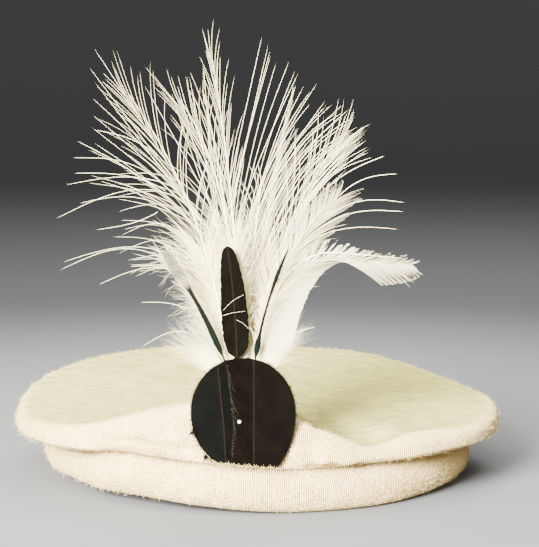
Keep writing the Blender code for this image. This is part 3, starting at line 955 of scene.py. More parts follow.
def skin_samples(piece, count, seed, wanted):
    """Random places and normals on the outside of a piece, spread by area over wanted places."""
    draw = np.random.default_rng(seed)
    mesh = piece.data
    mesh.calc_loop_triangles()
    corners = np.empty(len(mesh.loop_triangles) * 3, dtype=np.int32)
    mesh.loop_triangles.foreach_get("vertices", corners)
    corners = corners.reshape(-1, 3)
    points = points_of(piece)
    a, b, c = (points[corners[:, index]] for index in range(3))
    facing = np.cross(b - a, c - a)
    area = np.linalg.norm(facing, axis=1)
    facing /= np.maximum(area, 1e-15)[:, None]
    weight = area * wanted((a + b + c) / 3, facing)
    picked = draw.choice(len(area), count, p=weight / weight.sum())
    u, v = draw.random((2, count, 1))
    over = (u + v) > 1
    u, v = np.where(over, 1 - u, u), np.where(over, 1 - v, v)
    places = a[picked] + u * (b - a)[picked] + v * (c - a)[picked]
    return places, facing[picked], draw


def on_show(places, facing):
    """How much fuzz grows at a place: none on the cloth's inner side or where it lies on cloth."""
    away = places - np.array([0.0, SETBACK, 0.022])
    outwards = (facing * away).sum(axis=1) > 0
    reach = reaches_of(places)
    turned_out = outwards & ((reach > 0.101) | (places[:, 2] > 0.030))
    not_under = swept(-0.75, -0.45, facing[:, 2])
    return turned_out * np.maximum(not_under, swept(0.004, 0.012, places[:, 2]))


def fuzz(name, piece, is_crown):
    """Fine wool fibres that stand out of a piece of cloth."""
    count = settings().fibres
    places, facing, draw = skin_samples(piece, count, SEEDS[name], on_show)
    azimuths = azimuths_of(places)
    under = swept(-0.15, -0.7, facing[:, 2])
    left = swept(-110, -75, azimuths) * (1 - swept(-25, 5, azimuths))
    above_floor = swept(0.004, 0.010, places[:, 2])
    longer = 1 + LONGER_LEFT * left * above_floor * np.maximum(under, 0.35) * draw.random(count)
    reach = settings().fibre_length * longer * draw.uniform(0.35, 1.0, count) ** 1.4
    share = np.linspace(0, 1, FIBRE_POINTS)
    tangent = np.cross(facing, draw.normal(size=(count, 3)))
    tangent /= np.maximum(np.linalg.norm(tangent, axis=1, keepdims=True), 1e-9)
    second = np.cross(facing, tangent)
    lean = draw.uniform(0.3, 1.3, (count, 1, 1))
    curl = draw.uniform(-1.6, 1.6, (count, 1, 1))
    flow = share[None, :, None]
    paths = places[:, None] - facing[:, None] * 0.0002
    paths = paths + reach[:, None, None] * (
        facing[:, None] * flow * (1 - 0.35 * flow * lean)
        + tangent[:, None] * lean * flow
        + second[:, None] * 0.35 * curl * np.sin(flow * 2.6)
    )
    paths[:, :, 2] = np.maximum(paths[:, :, 2], 0.00015)
    radii = FIBRE * draw.uniform(0.6, 1.3, (count, 1)) * (1 - 0.6 * share)[None]
    # Fibres on the top take its painted shade.
    lid = np.minimum(lid_share(places), 1.0)[:, None] * is_crown
    marks = np.stack(np.broadcast_arrays(share[None], draw.random((count, 1)), lid), axis=-1)
    return strands(name, paths, radii, marks)


def feather_frame(row, parts):
    """Places, angles and shares along a white feather's shaft, as arrays."""
    line = shaft_line(row.seat, row.start, row.end, row.bend, row.length * PLUME_LENGTH, parts)
    return line[:, 0], line[:, 1], line[:, 2], np.linspace(0, 1, parts + 1)


def walked(foot_across, foot_up, turns, step):
    """Places across and up along strands, from their feet and their turns from upright."""
    middle = (turns[:, 1:] + turns[:, :-1]) / 2
    zero = np.zeros((len(turns), 1))
    across = foot_across + np.hstack([zero, np.cumsum(step * np.sin(middle), axis=1)])
    up = foot_up + np.hstack([zero, np.cumsum(step * np.cos(middle), axis=1)])
    return across, up


def yellowing(row, chance):
    """How yellow each barb of a white feather is at its tip."""
    return (0.35 + 0.65 * chance) * row.tint


def barb_curves(row, grown_share, side, part, spread_scale, hook):
    """Barbs of one side of a white feather, as places across and up its layer.

    Grown_share tells how far up the vane each barb stands, and part is how much of it is made.
    Spread_scale and hook change its angle and its curl.
    """
    across, up, angle, shares = feather_frame(row, FEATHER_STEPS)
    along = BARE + (row.tip - BARE) * grown_share
    foot = [np.interp(along, shares, values)[:, None] for values in (across, up, angle)]
    lock = (0.5 + 2.2 * grown_share) * (1 - grown_share) ** 0.8 + 0.38 * grown_share**2
    reach = ((row.left if side < 0 else row.right) * PLUME_LENGTH * lock)[:, None]
    spread = row.low_spread + (row.high_spread - row.low_spread) * grown_share**0.7
    spread = np.radians(spread * spread_scale)[:, None]
    share = part[:, None] * np.linspace(0, 1, BARB_POINTS)[None]
    turn = foot[2] + side * spread * (0.35 + 0.85 * share) + hook[:, None] * share**2
    x, y = walked(foot[0], foot[1], turn, reach * np.diff(share, axis=1))
    return x, y, reach, share


def bundles(count, low, high, draw):
    """Splits barbs into bundles of uneven size: each one's bundle, middle barb and place in it."""
    ends = np.cumsum(draw.integers(low, high + 1, count))
    bundle = np.searchsorted(ends, np.arange(count), side="right")
    starts = np.concatenate([[0], ends])[bundle]
    stops = np.minimum(ends[bundle], count)
    middle = (starts + stops - 1) // 2
    place = (np.arange(count) - middle) / np.maximum((stops - starts) / 2, 1)
    return bundle, middle, place


def gathered(values, share, middle, pull):
    """Draws barbs towards the middle one of their bundle, more towards their tips."""
    drawn = pull * share**1.5
    return (1 - drawn) * values + drawn * values[middle]


def loose_barbs(row, side, draw):
    """Single long barbs of one side of a white feather."""
    count = max(int(row.barbs * settings().fullness), 4)
    grown_share = (np.arange(count) + draw.uniform(0.0, 1.0, count)) / count
    scale = draw.normal(1.0, 0.16, count)
    hook = draw.normal(0.0, 1.0, count) * (0.16 + 0.65 * (1 - grown_share) ** 4)
    part = draw.uniform(0.62, 1.0, count)
    x, y, reach, share = barb_curves(row, grown_share, side, part, scale, hook)
    middle = bundles(count, 1, 3, draw)[1]
    x, y = (gathered(values, share, middle, 0.15) for values in (x, y))
    z = draw.normal(0.0, BARB_DEPTH, (count, 1)) * reach * share**1.3
    return barbs(row, (x, y, z), grown_share, share, draw.random(count), settings().barb_radius)


def filling_barbs(row, side, draw):
    """Fine short barbs that fill the lower half of one side's vane."""
    count = max(int(FILLING * settings().fullness), 4)
    grown_share = np.sort(draw.uniform(0.0, FILLED, count))
    scale = draw.normal(0.95, 0.14, count)
    part = draw.uniform(0.35, 0.72, count) * (1 - 0.45 * grown_share)
    x, y, reach, share = barb_curves(row, grown_share, side, part, scale, draw.normal(0, 0.15, count))
    middle = bundles(count, 3, 9, draw)[1]
    x, y = (gathered(values, share, middle, 0.5) for values in (x, y))
    z = np.abs(draw.normal(0.0, BARB_DEPTH, (count, 1))) * reach * share
    radius = settings().barb_radius * 0.7
    return barbs(row, (x, y, z), grown_share, share, draw.random(count), radius)


def down_barbs(row, draw):
    """Curly down at a white feather's foot."""
    count = row.down
    across, up, angle, shares = feather_frame(row, FEATHER_STEPS)
    along = draw.uniform(0.08, 0.42 if row.seat < 2 else 0.2, count)
    foot = [np.interp(along, shares, values)[:, None] for values in (across, up, angle)]
    side = np.where(draw.random(count) < 0.5, -1.0, 1.0)[:, None]
    share = np.broadcast_to(np.linspace(0, 1, BARB_POINTS)[None], (count, BARB_POINTS))
    reach = (DOWN_LENGTH * draw.uniform(0.45, 1.0, count) * (0.6 + along))[:, None]
    curl = side * draw.normal(0.5, 0.8, (count, 1))
    turn = foot[2] + side * draw.uniform(0.2, 1.3, (count, 1)) + curl * share
    turn = turn + 0.35 * np.sin(share * draw.uniform(3, 9, (count, 1)))
    x, y = walked(foot[0], foot[1], turn, reach / (BARB_POINTS - 1))
    y = np.maximum(y, QUILL_FOOT + 0.006)
    z = np.abs(draw.normal(0.0, 0.30, (count, 1))) * reach * share
    chance = draw.random(count)
    return barbs(row, (x, y, z), along * 0.3, share, chance, settings().barb_radius * 0.5)


def barbs(row, places, grown_share, share, chance, radius):
    """Closed strands for barbs at places across, up and behind a feather's layer."""
    taper = np.interp(share, [0.0, 0.2, 0.75, 1.0], [1.0, 0.95, 0.72, 0.35])
    radii = radius * taper * (0.75 + 0.5 * chance)[:, None]
    marks = (share, grown_share[:, None], yellowing(row, chance)[:, None])
    marks = np.stack(np.broadcast_arrays(*marks), axis=-1)
    return strands(row.name + "_part", on_layer(*places[:2], row.layer, places[2]), radii, marks)


def web_kind(row, side):
    """How one side of a white feather's web holds together."""
    if row.name != "plume_side":
        return "split"
    return "whole" if side > 0 else "strips"


def web(row, side, draw):
    """The whole part of one side's vane: barbs that hold together, split here and there."""
    grown_share = np.linspace(0, 1, WEB_ROWS) * min(row.web_end, 1.0)
    kind = web_kind(row, side)
    whole = kind == "whole"
    bundle, middle, place = bundles(WEB_ROWS, *WEB_BUNDLES[kind], draw)
    fading = 1 - swept(row.web_end - 0.3, row.web_end, grown_share)
    each = draw.uniform(0.84, 1.0, WEB_ROWS)[bundle]
    slant = 0.0 if whole else 0.22 * np.maximum(-place, 0.0) ** 1.3
    part = np.maximum(row.web * fading * each * (1 - slant), 0.01)
    part = part * (1 + (0.01 if whole else 0.055) * draw.normal(size=WEB_ROWS))
    scale = 1 + draw.normal(0.0, 0.05, WEB_ROWS)[bundle]
    x, y, reach, share = barb_curves(row, grown_share, side, part, scale, np.zeros(WEB_ROWS))
    x, y = (gathered(values, share, middle, 0.16) for values in (x, y))
    lift = draw.normal(0.0, 0.02, WEB_ROWS)[bundle][:, None]
    z = reach * (0.10 * share**2 + lift * share)
    places = on_layer(x, y, row.layer, z + QUILL * 0.2)
    yellow = yellowing(row, draw.random(WEB_ROWS)[bundle]) * (STRIP_TINT if kind == "strips" else 1.0)
    marks = (1.0 + share, grown_share[:, None], yellow[:, None])
    marks = np.stack(np.broadcast_arrays(*marks), axis=-1)
    corners = np.arange(WEB_ROWS * BARB_POINTS).reshape(WEB_ROWS, BARB_POINTS)
    held = np.flatnonzero(np.diff(bundle) == 0)
    a, b = corners[held, :-1].ravel(), corners[held, 1:].ravel()
    c, d = corners[held + 1, 1:].ravel(), corners[held + 1, :-1].ravel()
    order = (a, b, c, d) if side < 0 else (a, d, c, b)
    mesh = bpy.data.meshes.new(row.name + "_web")
    mesh.from_pydata(places.reshape(-1, 3), [], np.stack(order, axis=1))
    piece = linked(row.name + "_web", mesh)
    marked(piece, "strand", marks)
    modified(piece, "SOLIDIFY", thickness=WEB_THICK, offset=0.0)
    bpy.ops.object.shade_smooth_by_angle(angle=math.radians(40))
    return piece


def shaft(name, row):
    """A white feather's shaft, extruded along its line from a ring at its quill's foot."""
    across, up, angle, shares = feather_frame(row, SHAFT_PARTS)
    keep = shares <= row.tip + 0.02
    across, up, angle, shares = (values[keep] for values in (across, up, angle, shares))
    places = on_layer(across, up, row.layer)
    where = {"vertices": SHAFT_SIDES, "radius": QUILL / 2, "location": tuple(places[0])}
    piece = edit_new(name, bpy.ops.mesh.primitive_circle_add, fill_type="NGON", **where)
    for index in range(1, len(places)):
        step = {"value": tuple(places[index] - places[index - 1])}
        bpy.ops.mesh.extrude_region_move(TRANSFORM_OT_translate=step)
        ratio = (1 - SHAFT_TAPER * shares[index]) / (1 - SHAFT_TAPER * shares[index - 1])
        centre = tuple(places[index])
        bpy.ops.transform.resize(value=(ratio,) * 3, center_override=centre)
        bend = angle[index] - angle[index - 1]
        turn = {"orient_axis": "Y", "center_override": centre}
        bpy.ops.transform.rotate(value=-bend, **turn)
    bpy.ops.mesh.select_all(action="SELECT")
    bpy.ops.mesh.normals_make_consistent(inside=False)
    done(piece)
    marks = np.zeros((len(piece.data.vertices), 3))
    marks[:, 1] = np.clip((points_of(piece)[:, 2] - places[0][2]) / PLUME_LENGTH, 0, 1)
    marks[:, 0] = marks[:, 1] * 0.7
    marks[:, 2] = row.tint
    marked(piece, "strand", marks)
    return piece


def white_feather(row, seed):
    """A white feather: its shaft, its vane's whole and loose barbs, and the down at its foot."""
    draw = np.random.default_rng(seed)
    piece = shaft(row.name + "_barbs", row)
    grown = [web(row, side, draw) for side in (-1, 1)]
    for make in (loose_barbs, filling_barbs):
        grown += [make(row, side, draw) for side in (-1, 1)]
    grown.append(down_barbs(row, draw))
    return joined(piece, *grown)


def stray_barbs():
    """Single long barbs that stand out of the plume, and a few that cross the dark feather."""
    draw = np.random.default_rng(SEEDS["plume_single_barbs"])
    count = len(STRAYS) + sum(fan.count for fan in FANS)
    share = np.linspace(0, 1, BARB_POINTS * 2)
    rows = [tuple(row) for row in STRAYS]
    for fan in FANS:
        for part in np.linspace(0, 1, fan.count):
            ends = np.array(fan.first) * (1 - part) + np.array(fan.last) * part
            rows.append((*(ends + draw.normal(0.0, 0.012, 5)), draw.uniform(-0.008, -0.002)))
    rows = np.array(rows)
    feet_and_tips = rows[:, :5] * PLUME_LENGTH
    foot_x, foot_y, tip_x, tip_y, bow = (feet_and_tips[:, index, None] for index in range(5))
    x = foot_x + (tip_x - foot_x) * share[None]
    y = foot_y + (tip_y - foot_y) * share[None] + np.sin(np.pi * share**0.8)[None] * bow
    z = draw.normal(0.0, 0.003, (len(rows), 1)) * share[None] * (rows[:, 5:] <= 0)
    places = on_layer(x, y, 0, z - rows[:, 5:])
    radii = settings().barb_radius * np.interp(share, [0.0, 0.8, 1.0], [1.0, 0.85, 0.4])[None]
    thickness = np.where(np.arange(count) < len(STRAYS), STRAY_THICKNESS, FAN_THICKNESS)
    thickness = np.where(rows[:, 5] > 0, CROSSING_THICKNESS, thickness)
    radii = radii * thickness[:, None]
    chance = draw.random((len(rows), 1))
    marks = np.stack(np.broadcast_arrays(share[None] * 0.3, 0.5, chance * 0.2), axis=-1)
    return strands("plume_single_barbs", places, np.broadcast_to(radii, x.shape), marks)


def front_down():
    """Fine white barbs in front of the green feathers, out from the top of the badge."""
    seed = SEEDS["plume_front_down"]
    draw = np.random.default_rng(seed)
    count = FRONT_DOWN
    left = draw.random(count) < FRONT_DOWN_LEFT
    on_left = draw.uniform(-0.0160, -0.0095, count)
    across = np.where(left, on_left, draw.uniform(0.0085, 0.0140, count))
    feet = np.stack([across, BADGE_HEIGHT * (0.98 - (across / BADGE_WIDTH) ** 2 * 1.6)], axis=1)
    away = np.where(left, draw.uniform(-64, -30, count), draw.uniform(22, 56, count))
    lengths = draw.uniform(0.010, 0.036, count)
    thickness = settings().barb_radius * 0.55
    turns = np.radians(away)
    return fringe("plume_front_down", feet, turns, lengths, thickness, seed + 1, 0.0009, 0.4, 0.01)


def vane_plate(name, rows, place, thickness, columns):
    """A thin vane shaped from a grid between the left and right ends of its rows.

    Each row gives its height, left end, shaft and right end. The UV map holds the distance from
    the shaft and the height, in decimetres.
    """
    where = {"x_subdivisions": columns, "y_subdivisions": len(rows) - 1, "size": 1.0}
    piece = edit_new(name, bpy.ops.mesh.primitive_grid_add, **where)
    bpy.ops.object.mode_set(mode="OBJECT")
    points = points_of(piece)
    flat = np.zeros((len(points), 2))
    for index, (u, v, _) in enumerate(points):
        low, left, middle, right = rows[round((v + 0.5) * (len(rows) - 1))]
        across = left + (right - left) * (u + 0.5)
        span = right - middle if across > middle else middle - left
        side = min(max((across - middle) / max(span, 1e-6), -1.0), 1.0)
        ridge = math.exp(-(((across - middle) / VANE_RIDGE) ** 2)) * VANE_RIDGE * 0.45
        crown = (1 - side * side) * thickness * 0.35
        points[index] = place(across, low, -ridge - crown)
        flat[index] = (across - middle, low)
    set_points(piece, points)
    mapped = piece.data.uv_layers.active.data
    for loop in piece.data.loops:
        mapped[loop.index].uv = (flat[loop.vertex_index] * 10.0).tolist()
    faced_outwards()
    facing = sum((polygon.normal for polygon in piece.data.polygons), Vector())
    if facing.y > 0:
        bpy.ops.object.mode_set(mode="EDIT")
        bpy.ops.mesh.flip_normals()
        bpy.ops.object.mode_set(mode="OBJECT")
    modified(piece, "SOLIDIFY", thickness=thickness, offset=-1.0)
    bpy.ops.object.shade_smooth_by_angle(angle=math.radians(50))
    return piece


def badge_half(name, side, behind):
    """One trimmed vane of the badge, out from the fray between the two."""
    rows = []
    tall = BADGE_HEIGHT * BADGE_TOP
    if side < 0:
        heights = np.linspace(0.5, BADGE_TOP, 500) * BADGE_HEIGHT
        tall = max(up for up in heights if badge_edge(up, -1) < badge_lap(up)[0])
    for index in range(BADGE_ROWS + 1):
        up = tall * math.sin(index / BADGE_ROWS * math.pi / 2)
        fray, left_shaft, right_shaft = badge_lap(up)
        outer = badge_edge(up, side)
        if side < 0:
            inner = min(fray + BADGE_LAP, badge_edge(up, 1))
            shaft_at = max(left_shaft, outer * 0.9 + inner * 0.1)
            rows.append((up, outer, shaft_at, inner))
        else:
            inner = max(fray, badge_edge(up, -1))
            shaft_at = max(right_shaft, inner * 0.9 + outer * 0.1)
            rows.append((up, inner, shaft_at, outer))

    def place(across, up, front):
        nick = noise.noise(Vector((across * 900, up * 500, 3.0))) * 0.0003
        raised = badge_rise(across) * (1 - up / BADGE_HEIGHT) ** 5
        return on_badge(across, up + raised, behind + front + nick)

    return vane_plate(name, rows, place, VANE * 0.7, BADGE_COLUMNS)


def fringe(name, feet, turns, lengths, thickness, seed, behind, curl=0.5, depth=0.12):
    """Short barbs in the badge's plane, from feet (across, up) at turns from upright, in radians."""
    draw = np.random.default_rng(seed)
    count = len(lengths)
    share = np.linspace(0, 1, FRINGE_POINTS)
    turn = turns[:, None] + draw.normal(0.0, curl, (count, 1)) * share[None]
    x, y = walked(feet[:, :1], feet[:, 1:], turn, lengths[:, None] / (FRINGE_POINTS - 1))
    z = behind + draw.normal(0.0, depth, (count, 1)) * lengths[:, None] * share[None]
    radii = thickness * draw.uniform(0.7, 1.2, (count, 1)) * (1 - 0.7 * share)[None]
    chance = draw.random((count, 1))
    marks = np.stack(np.broadcast_arrays(share[None], 0.0, chance), axis=-1)
    return strands(name, on_badge(x, y, z), radii, marks)


def badge_rim(name, side, behind):
    """Barb ends that stand out of the badge's trimmed edge."""
    count, seed = RIM_BARBS, SEEDS[name]
    draw = np.random.default_rng(seed)
    ups = BADGE_HEIGHT * draw.uniform(0.0, 0.965, count)
    feet = np.array([(badge_edge(up, side) * 0.985, up) for up in ups])
    middle = np.array([0.0, BADGE_HEIGHT * 0.30])
    out = feet - middle
    turns = np.arctan2(out[:, 0], out[:, 1]) + draw.normal(0.0, 0.35, count)
    lengths = draw.uniform(0.0006, 0.0020, count)
    return fringe(name, feet, turns, lengths, EDGE_HAIR, seed + 1, behind, 0.6)


def badge_fray():
    """The pale frayed edge where one vane of the badge meets the other, and hairs off it."""
    count, seed = FRAY_BARBS, SEEDS["badge_fray"]
    draw = np.random.default_rng(seed)
    long = draw.random(count) < LONG_FRAY
    long_ups = draw.uniform(0.35, 0.92, count)
    ups = BADGE_HEIGHT * np.where(long, long_ups, draw.uniform(0.06, 0.94, count))
    feet = np.array([(badge_lap(up)[0] + 0.0004, up) for up in ups])
    turns = np.radians(np.where(long, draw.normal(158, 9, count), draw.normal(-150, 60, count)))
    lengths = np.where(long, draw.uniform(0.003, 0.009, count), draw.uniform(0.0005, 0.0013, count))
    return fringe("badge_fray", feet, turns, lengths, FRAY_HAIR, seed + 1, -VANE * 2, 0.25, 0.02)


def foot_wool():
    """Wool fibres of the roll that lie over the badge's foot."""
    count, seed = FOOT_FIBRES, SEEDS["badge_foot_fuzz"]
    draw = np.random.default_rng(seed)
    across = draw.uniform(-0.32, 0.38, count) * BADGE_WIDTH
    feet = np.stack([across, draw.normal(-0.0004, 0.0003, count)], axis=1)
    feet[:, 1] += badge_rise(across)
    turns = draw.normal(0.0, 1.2, count)
    lengths = draw.uniform(0.0006, 0.0026, count)
    return fringe("badge_foot_fuzz", feet, turns, lengths, FIBRE * 0.6, seed + 1, -VANE * 2.4, 1.6, 0.3)


def quill_stubs():
    """Two quill ends with curly hairs, low on the left vane of the badge."""
    count, seed = STUB_HAIRS, SEEDS["badge_stubs"]
    draw = np.random.default_rng(seed)
    made = []
    for across, up, turn in STUBS:
        core = np.array([[across * BADGE_WIDTH, up * BADGE_HEIGHT]])
        feet = core + draw.normal(0.0, 0.0005, (count, 2))
        turns = math.radians(turn) + draw.normal(0.0, 0.7, count)
        lengths = draw.uniform(0.0010, 0.0034, count)
        name = "badge_stub_hair"
        made.append(fringe(name, feet, turns, lengths, STUB_HAIR, seed + len(made), -VANE, 1.6))
        way, long = np.array([math.radians(turn)]), np.array([STUB_LENGTH])
        made.append(fringe(name, core, way, long, STUB_QUILL, 5, -VANE))
    return joined(*made)


def leaf_swell(along, waist):
    """How wide a narrow feather is at a share of its length, as a share of its widest.

    Waist gives what is left of that width along the feather.
    """
    share = np.clip((along - LEAF_BARE) / (1 - LEAF_BARE), 0.0, 1.0)
    low = np.clip((LEAF_WIDEST - share) / LEAF_WIDEST, 0.0, 1.0)
    high = np.clip((share - LEAF_WIDEST) / (1 - LEAF_WIDEST), 0.0, 1.0)
    round_ends = (1 - low**4) ** 0.5 * (1 - high**1.5) ** 0.36
    return round_ends * np.interp(along, *zip(*waist))


def leaf_plate(name, leaf):
    """A narrow feather with a whole vane on a bare quill."""
    steps = LEAF_STEPS
    line = shaft_line(leaf.seat, leaf.start, leaf.end, leaf.bend, leaf.length, steps)
    rows = []
    for index in range(steps + 1):
        swell = leaf_swell(index / steps, leaf.waist)
        left, right = (max(width * swell, QUILL * 0.3) for width in (leaf.left, leaf.right))
        rows.append((index / steps, -left, 0.0, right))

    def place(offset, share, front):
        across, up, angle = line[round(share * steps)]
        ripple = noise.noise(Vector((offset * 600, share * 14, leaf.seat))) * 0.0005
        nick = noise.noise(Vector((share * 60, leaf.seat, 5.0))) * 0.0006 * abs(offset) / leaf.left
        across += (offset + nick) * math.cos(angle)
        up -= (offset + nick) * math.sin(angle)
        return on_layer(across, up, 0, front + ripple)

    piece = vane_plate(name, rows, place, VANE * 0.35, LEAF_COLUMNS)
    for entry in piece.data.uv_layers.active.data:
        entry.uv[1] *= leaf.length
    return piece


def leaf_barbs(name, leaf, seed):
    """Loose barbs along the sides of a narrow feather."""
    draw = np.random.default_rng(seed)
    steps, count = LEAF_STEPS, leaf.barbs
    line = shaft_line(leaf.seat, leaf.start, leaf.end, leaf.bend, leaf.length, steps)
    along = draw.uniform(LEAF_BARE + 0.04, 0.98, count)
    side = np.where(draw.random(count) < 0.5, -1.0, 1.0)
    width = np.where(side < 0, leaf.left, leaf.right) * leaf_swell(along, leaf.waist)
    at = np.array([np.interp(along * steps, range(steps + 1), line[:, c]) for c in range(3)])
    feet_x = at[0] + side * width * 0.85 * np.cos(at[2])
    feet_y = at[1] - side * width * 0.85 * np.sin(at[2])
    turns = at[2] + side * np.radians(draw.uniform(4, 26, count))
    lengths = leaf.barb_length * draw.uniform(0.3, 1.0, count)
    feet = np.stack([feet_x, feet_y], axis=1)
    return fringe(name, feet, turns, lengths, EDGE_HAIR, seed + 1, LEAF_DEPTH, 0.3)


def model_pin():
    """The pin's round white head, on a dark ring that is a painted shadow round it."""
    across, up = PIN_ACROSS * BADGE_WIDTH, PIN_UP * BADGE_HEIGHT
    turn = (math.radians(90 - BADGE_LEAN), 0.0, 0.0)
    where = tuple(on_badge(across, up, -VANE * 2 - GAP))
    size = {"segments": 40, "ring_count": 24, "radius": PIN_HEAD * 0.34}
    place = {"location": where, "rotation": turn}
    head = edit_new("pin_bead", bpy.ops.mesh.primitive_uv_sphere_add, **size, **place)
    bpy.ops.transform.resize(value=(1.0, 0.82, 1.0), center_override=where)
    done(head)
    # A painted shadow: a near-black ring round the foot of the head.
    where = tuple(on_badge(across, up, -VANE * 1.5))
    size = {"major_segments": 48, "minor_segments": 12}
    size |= {"major_radius": PIN_HEAD * 0.36, "minor_radius": PIN_HEAD * 0.10}
    place = {"location": where, "rotation": turn}
    ring = edit_new("pin_shadow_ring", bpy.ops.mesh.primitive_torus_add, **size, **place)
    bpy.ops.transform.resize(value=(1.0, 0.7, 1.0), center_override=where)
    done(ring)
    return head, ring


def spotted(finish, tone, rows, rough, soft, colour):
    """A tone with ragged spots of a colour on the front of the cap, in the places of a table."""
    x, y, z = finish.axes(finish.place)
    front = finish.limited(y, SPOTTED_TO, SPOTTED_FROM, 1.0, 0.0)
    for row in rows:
        u = (x - row.across) / row.half_width
        v = (z - row.height) / row.half_height
        spot = finish.limited(u * u + v * v + rough, 0.0, soft, row.strength, 0.0)
        tone = finish.mixed(spot * front, tone, colour)
    return tone


def wool_finish(name, fibre=False):
    """Brushed cream wool: ribs on its walls, a flatter grain on top, felted fibres, a few stains, and
    painted shade on the top, in the rib valleys, along creases and in the seam.

    The cloth's attribute "zone" tells the crown's top, from 0 to 1, which is painted darker and
    greener as shade, up to 2 in its crease, where a band of painted shade lies, and the seam over
    the roll, from 0 to -1, which gets painted shade. A fibre's third mark tells the top, painted in
    the same shade.
    """
    look = settings()
    constants = {"Sheen_Weight": 0.06, "Sheen_Roughness": 0.45, "Specular_IOR_Level": 0.1}
    finish = Finish(name, Roughness=0.95, **constants)
    if fibre:
        top = finish.axes(finish.mark())[2]
    else:
        zone = finish.node("ShaderNodeAttribute", {"attribute_name": "zone"}).outputs["Fac"]
        seam = finish.maths("MAXIMUM", finish.maths("MULTIPLY", zone, -1.0), 0.0)
        top = finish.maths("MINIMUM", finish.maths("MAXIMUM", zone, 0.0), 1.0)
        crease = finish.limited(zone, 1.0, 2.0, 0.0, 0.5)
    broad = finish.noise(38, 3)
    patch = finish.noise(130, 3)
    felt = finish.noise(820, 4, roughness=0.6)
    # Painted shade: the top is darker and greener than the wall, where light falls on it less.
    tone = finish.mixed(top, look.wool_colour, look.top_painted_shade_colour)
    shade = finish.mixed(top, look.wool_shade, look.top_streak_and_crease_painted_shade)
    tone = finish.mixed(finish.limited(broad, 0.4, 0.75, 0.0, 0.3), tone, shade)
    tone = finish.mixed(finish.limited(patch, 0.55, 0.8, 0.0, 0.25), tone, shade)
    # Stains, and thin lines of painted shade along creases.
    tone = spotted(finish, tone, STAINS_AND_CREASE_SHADE, patch * 1.6 - 0.8, 1.2, look.stain_and_crease_shade_colour)
    if not fibre:
        wisps = finish.noise(300, 3, finish.scaled(finish.place, (1.0, 2.6, 4.0)))
        grain = finish.scaled(finish.place, (0.7, 1.6, 1.0))
        streaks = finish.noise(120, 4, grain, roughness=0.7)
        x, y, _ = finish.axes(finish.place)
        azimuth = finish.maths("ARCTAN2", x, SETBACK - y)
        wobble = finish.noise(60, 2) * 6.0
        rib = finish.maths("SINE", azimuth * WOOL_RIBS + wobble)
        rib = rib * (1 - top * 0.85) * finish.limited(patch, 0.3, 0.6, 0.45, 1.0)
        # Darker mottling at random in the felt, and painted shade in the rib valleys.
        depth = finish.limited(felt + wisps * 0.5 - rib * 0.16, 0.5, 1.0, 0.0, 0.55)
        tone = finish.mixed(depth * (1 - top), tone, look.wool_mottle_and_cavity_shade)
        wear_and_seam_shade = finish.limited(streaks, 0.38, 0.62, 0.0, 0.85) * top
        tone = finish.mixed(wear_and_seam_shade, tone, look.top_streak_and_crease_painted_shade)
        # Painted shade: a darker band in the crease just behind the ridge.
        tone = finish.mixed(crease, tone, look.top_streak_and_crease_painted_shade)
        # Painted shade in the seam between the crown's wall and the roll, ragged at random.
        wear_and_seam_shade = seam * finish.limited(broad + patch * 0.5, 0.45, 0.9, 0.25, 1.0)
        tone = finish.mixed(wear_and_seam_shade, tone, look.seam_painted_shade_colour)
        finish.emboss(rib * 0.35 + felt * 1.3 + wisps * 0.9 + streaks * 1.8, 0.0012)
    # Painted shadow: near-black spots in the deep gaps of the seam.
    tone = spotted(finish, tone, SEAM_SHADOW_SPOTS, felt * 2.8 - 1.3, 0.9, look.seam_shadow_spot_colour)
    finish.feed("Base Color", tone)
    return finish.material


def barb_finish():
    """White barbs that yellow a little towards their tips, and webs that thin out there.

    The mark's first number is how far out on its barb a place is, plus 1 on a web. Its second is
    how far up the vane the barb stands, and its third how yellow the barb's tip is.
    """
    look = settings()
    finish = Finish("white_feather", Roughness=0.55, Sheen_Weight=0.15)
    mark = finish.mark()
    along, rise, tint = finish.axes(mark)
    webbed = finish.maths("GREATER_THAN", along, 0.9999)
    along = along - webbed
    strips = finish.noise(1.0, 3, finish.scaled(mark, (1.5, 70.0, 0.0)))
    thin = finish.limited(along, 0.30, 0.85) * webbed * finish.limited(rise, 0.25, 0.5)
    patch = finish.noise(60, 2)
    line = finish.maths("SINE", rise * WEB_LINES + patch * 3.0) * 0.5 + 0.5
    wear_and_seam_shade = finish.limited(along * rise * tint, 0.04, 0.40, 0.0, 0.95)
    tone = finish.mixed(wear_and_seam_shade, look.plume_colour, look.plume_tip_colour)
    dull = finish.limited(patch, 0.4, 0.8, 0.0, 0.25) + line * along * 0.35
    tone = finish.mixed(dull, tone, look.plume_shade)
    held = webbed * finish.limited(strips, 0.35, 0.6, 0.4, 0.95) + thin * 0.3
    finish.feed("Base Color", finish.mixed(held, tone, look.plume_shade))
    finish.feed("Alpha", 1 - thin * finish.limited(strips, 0.46, 0.53, 1.0, 0.35))
    finish.emboss(line, 0.0002)
    return finish.material


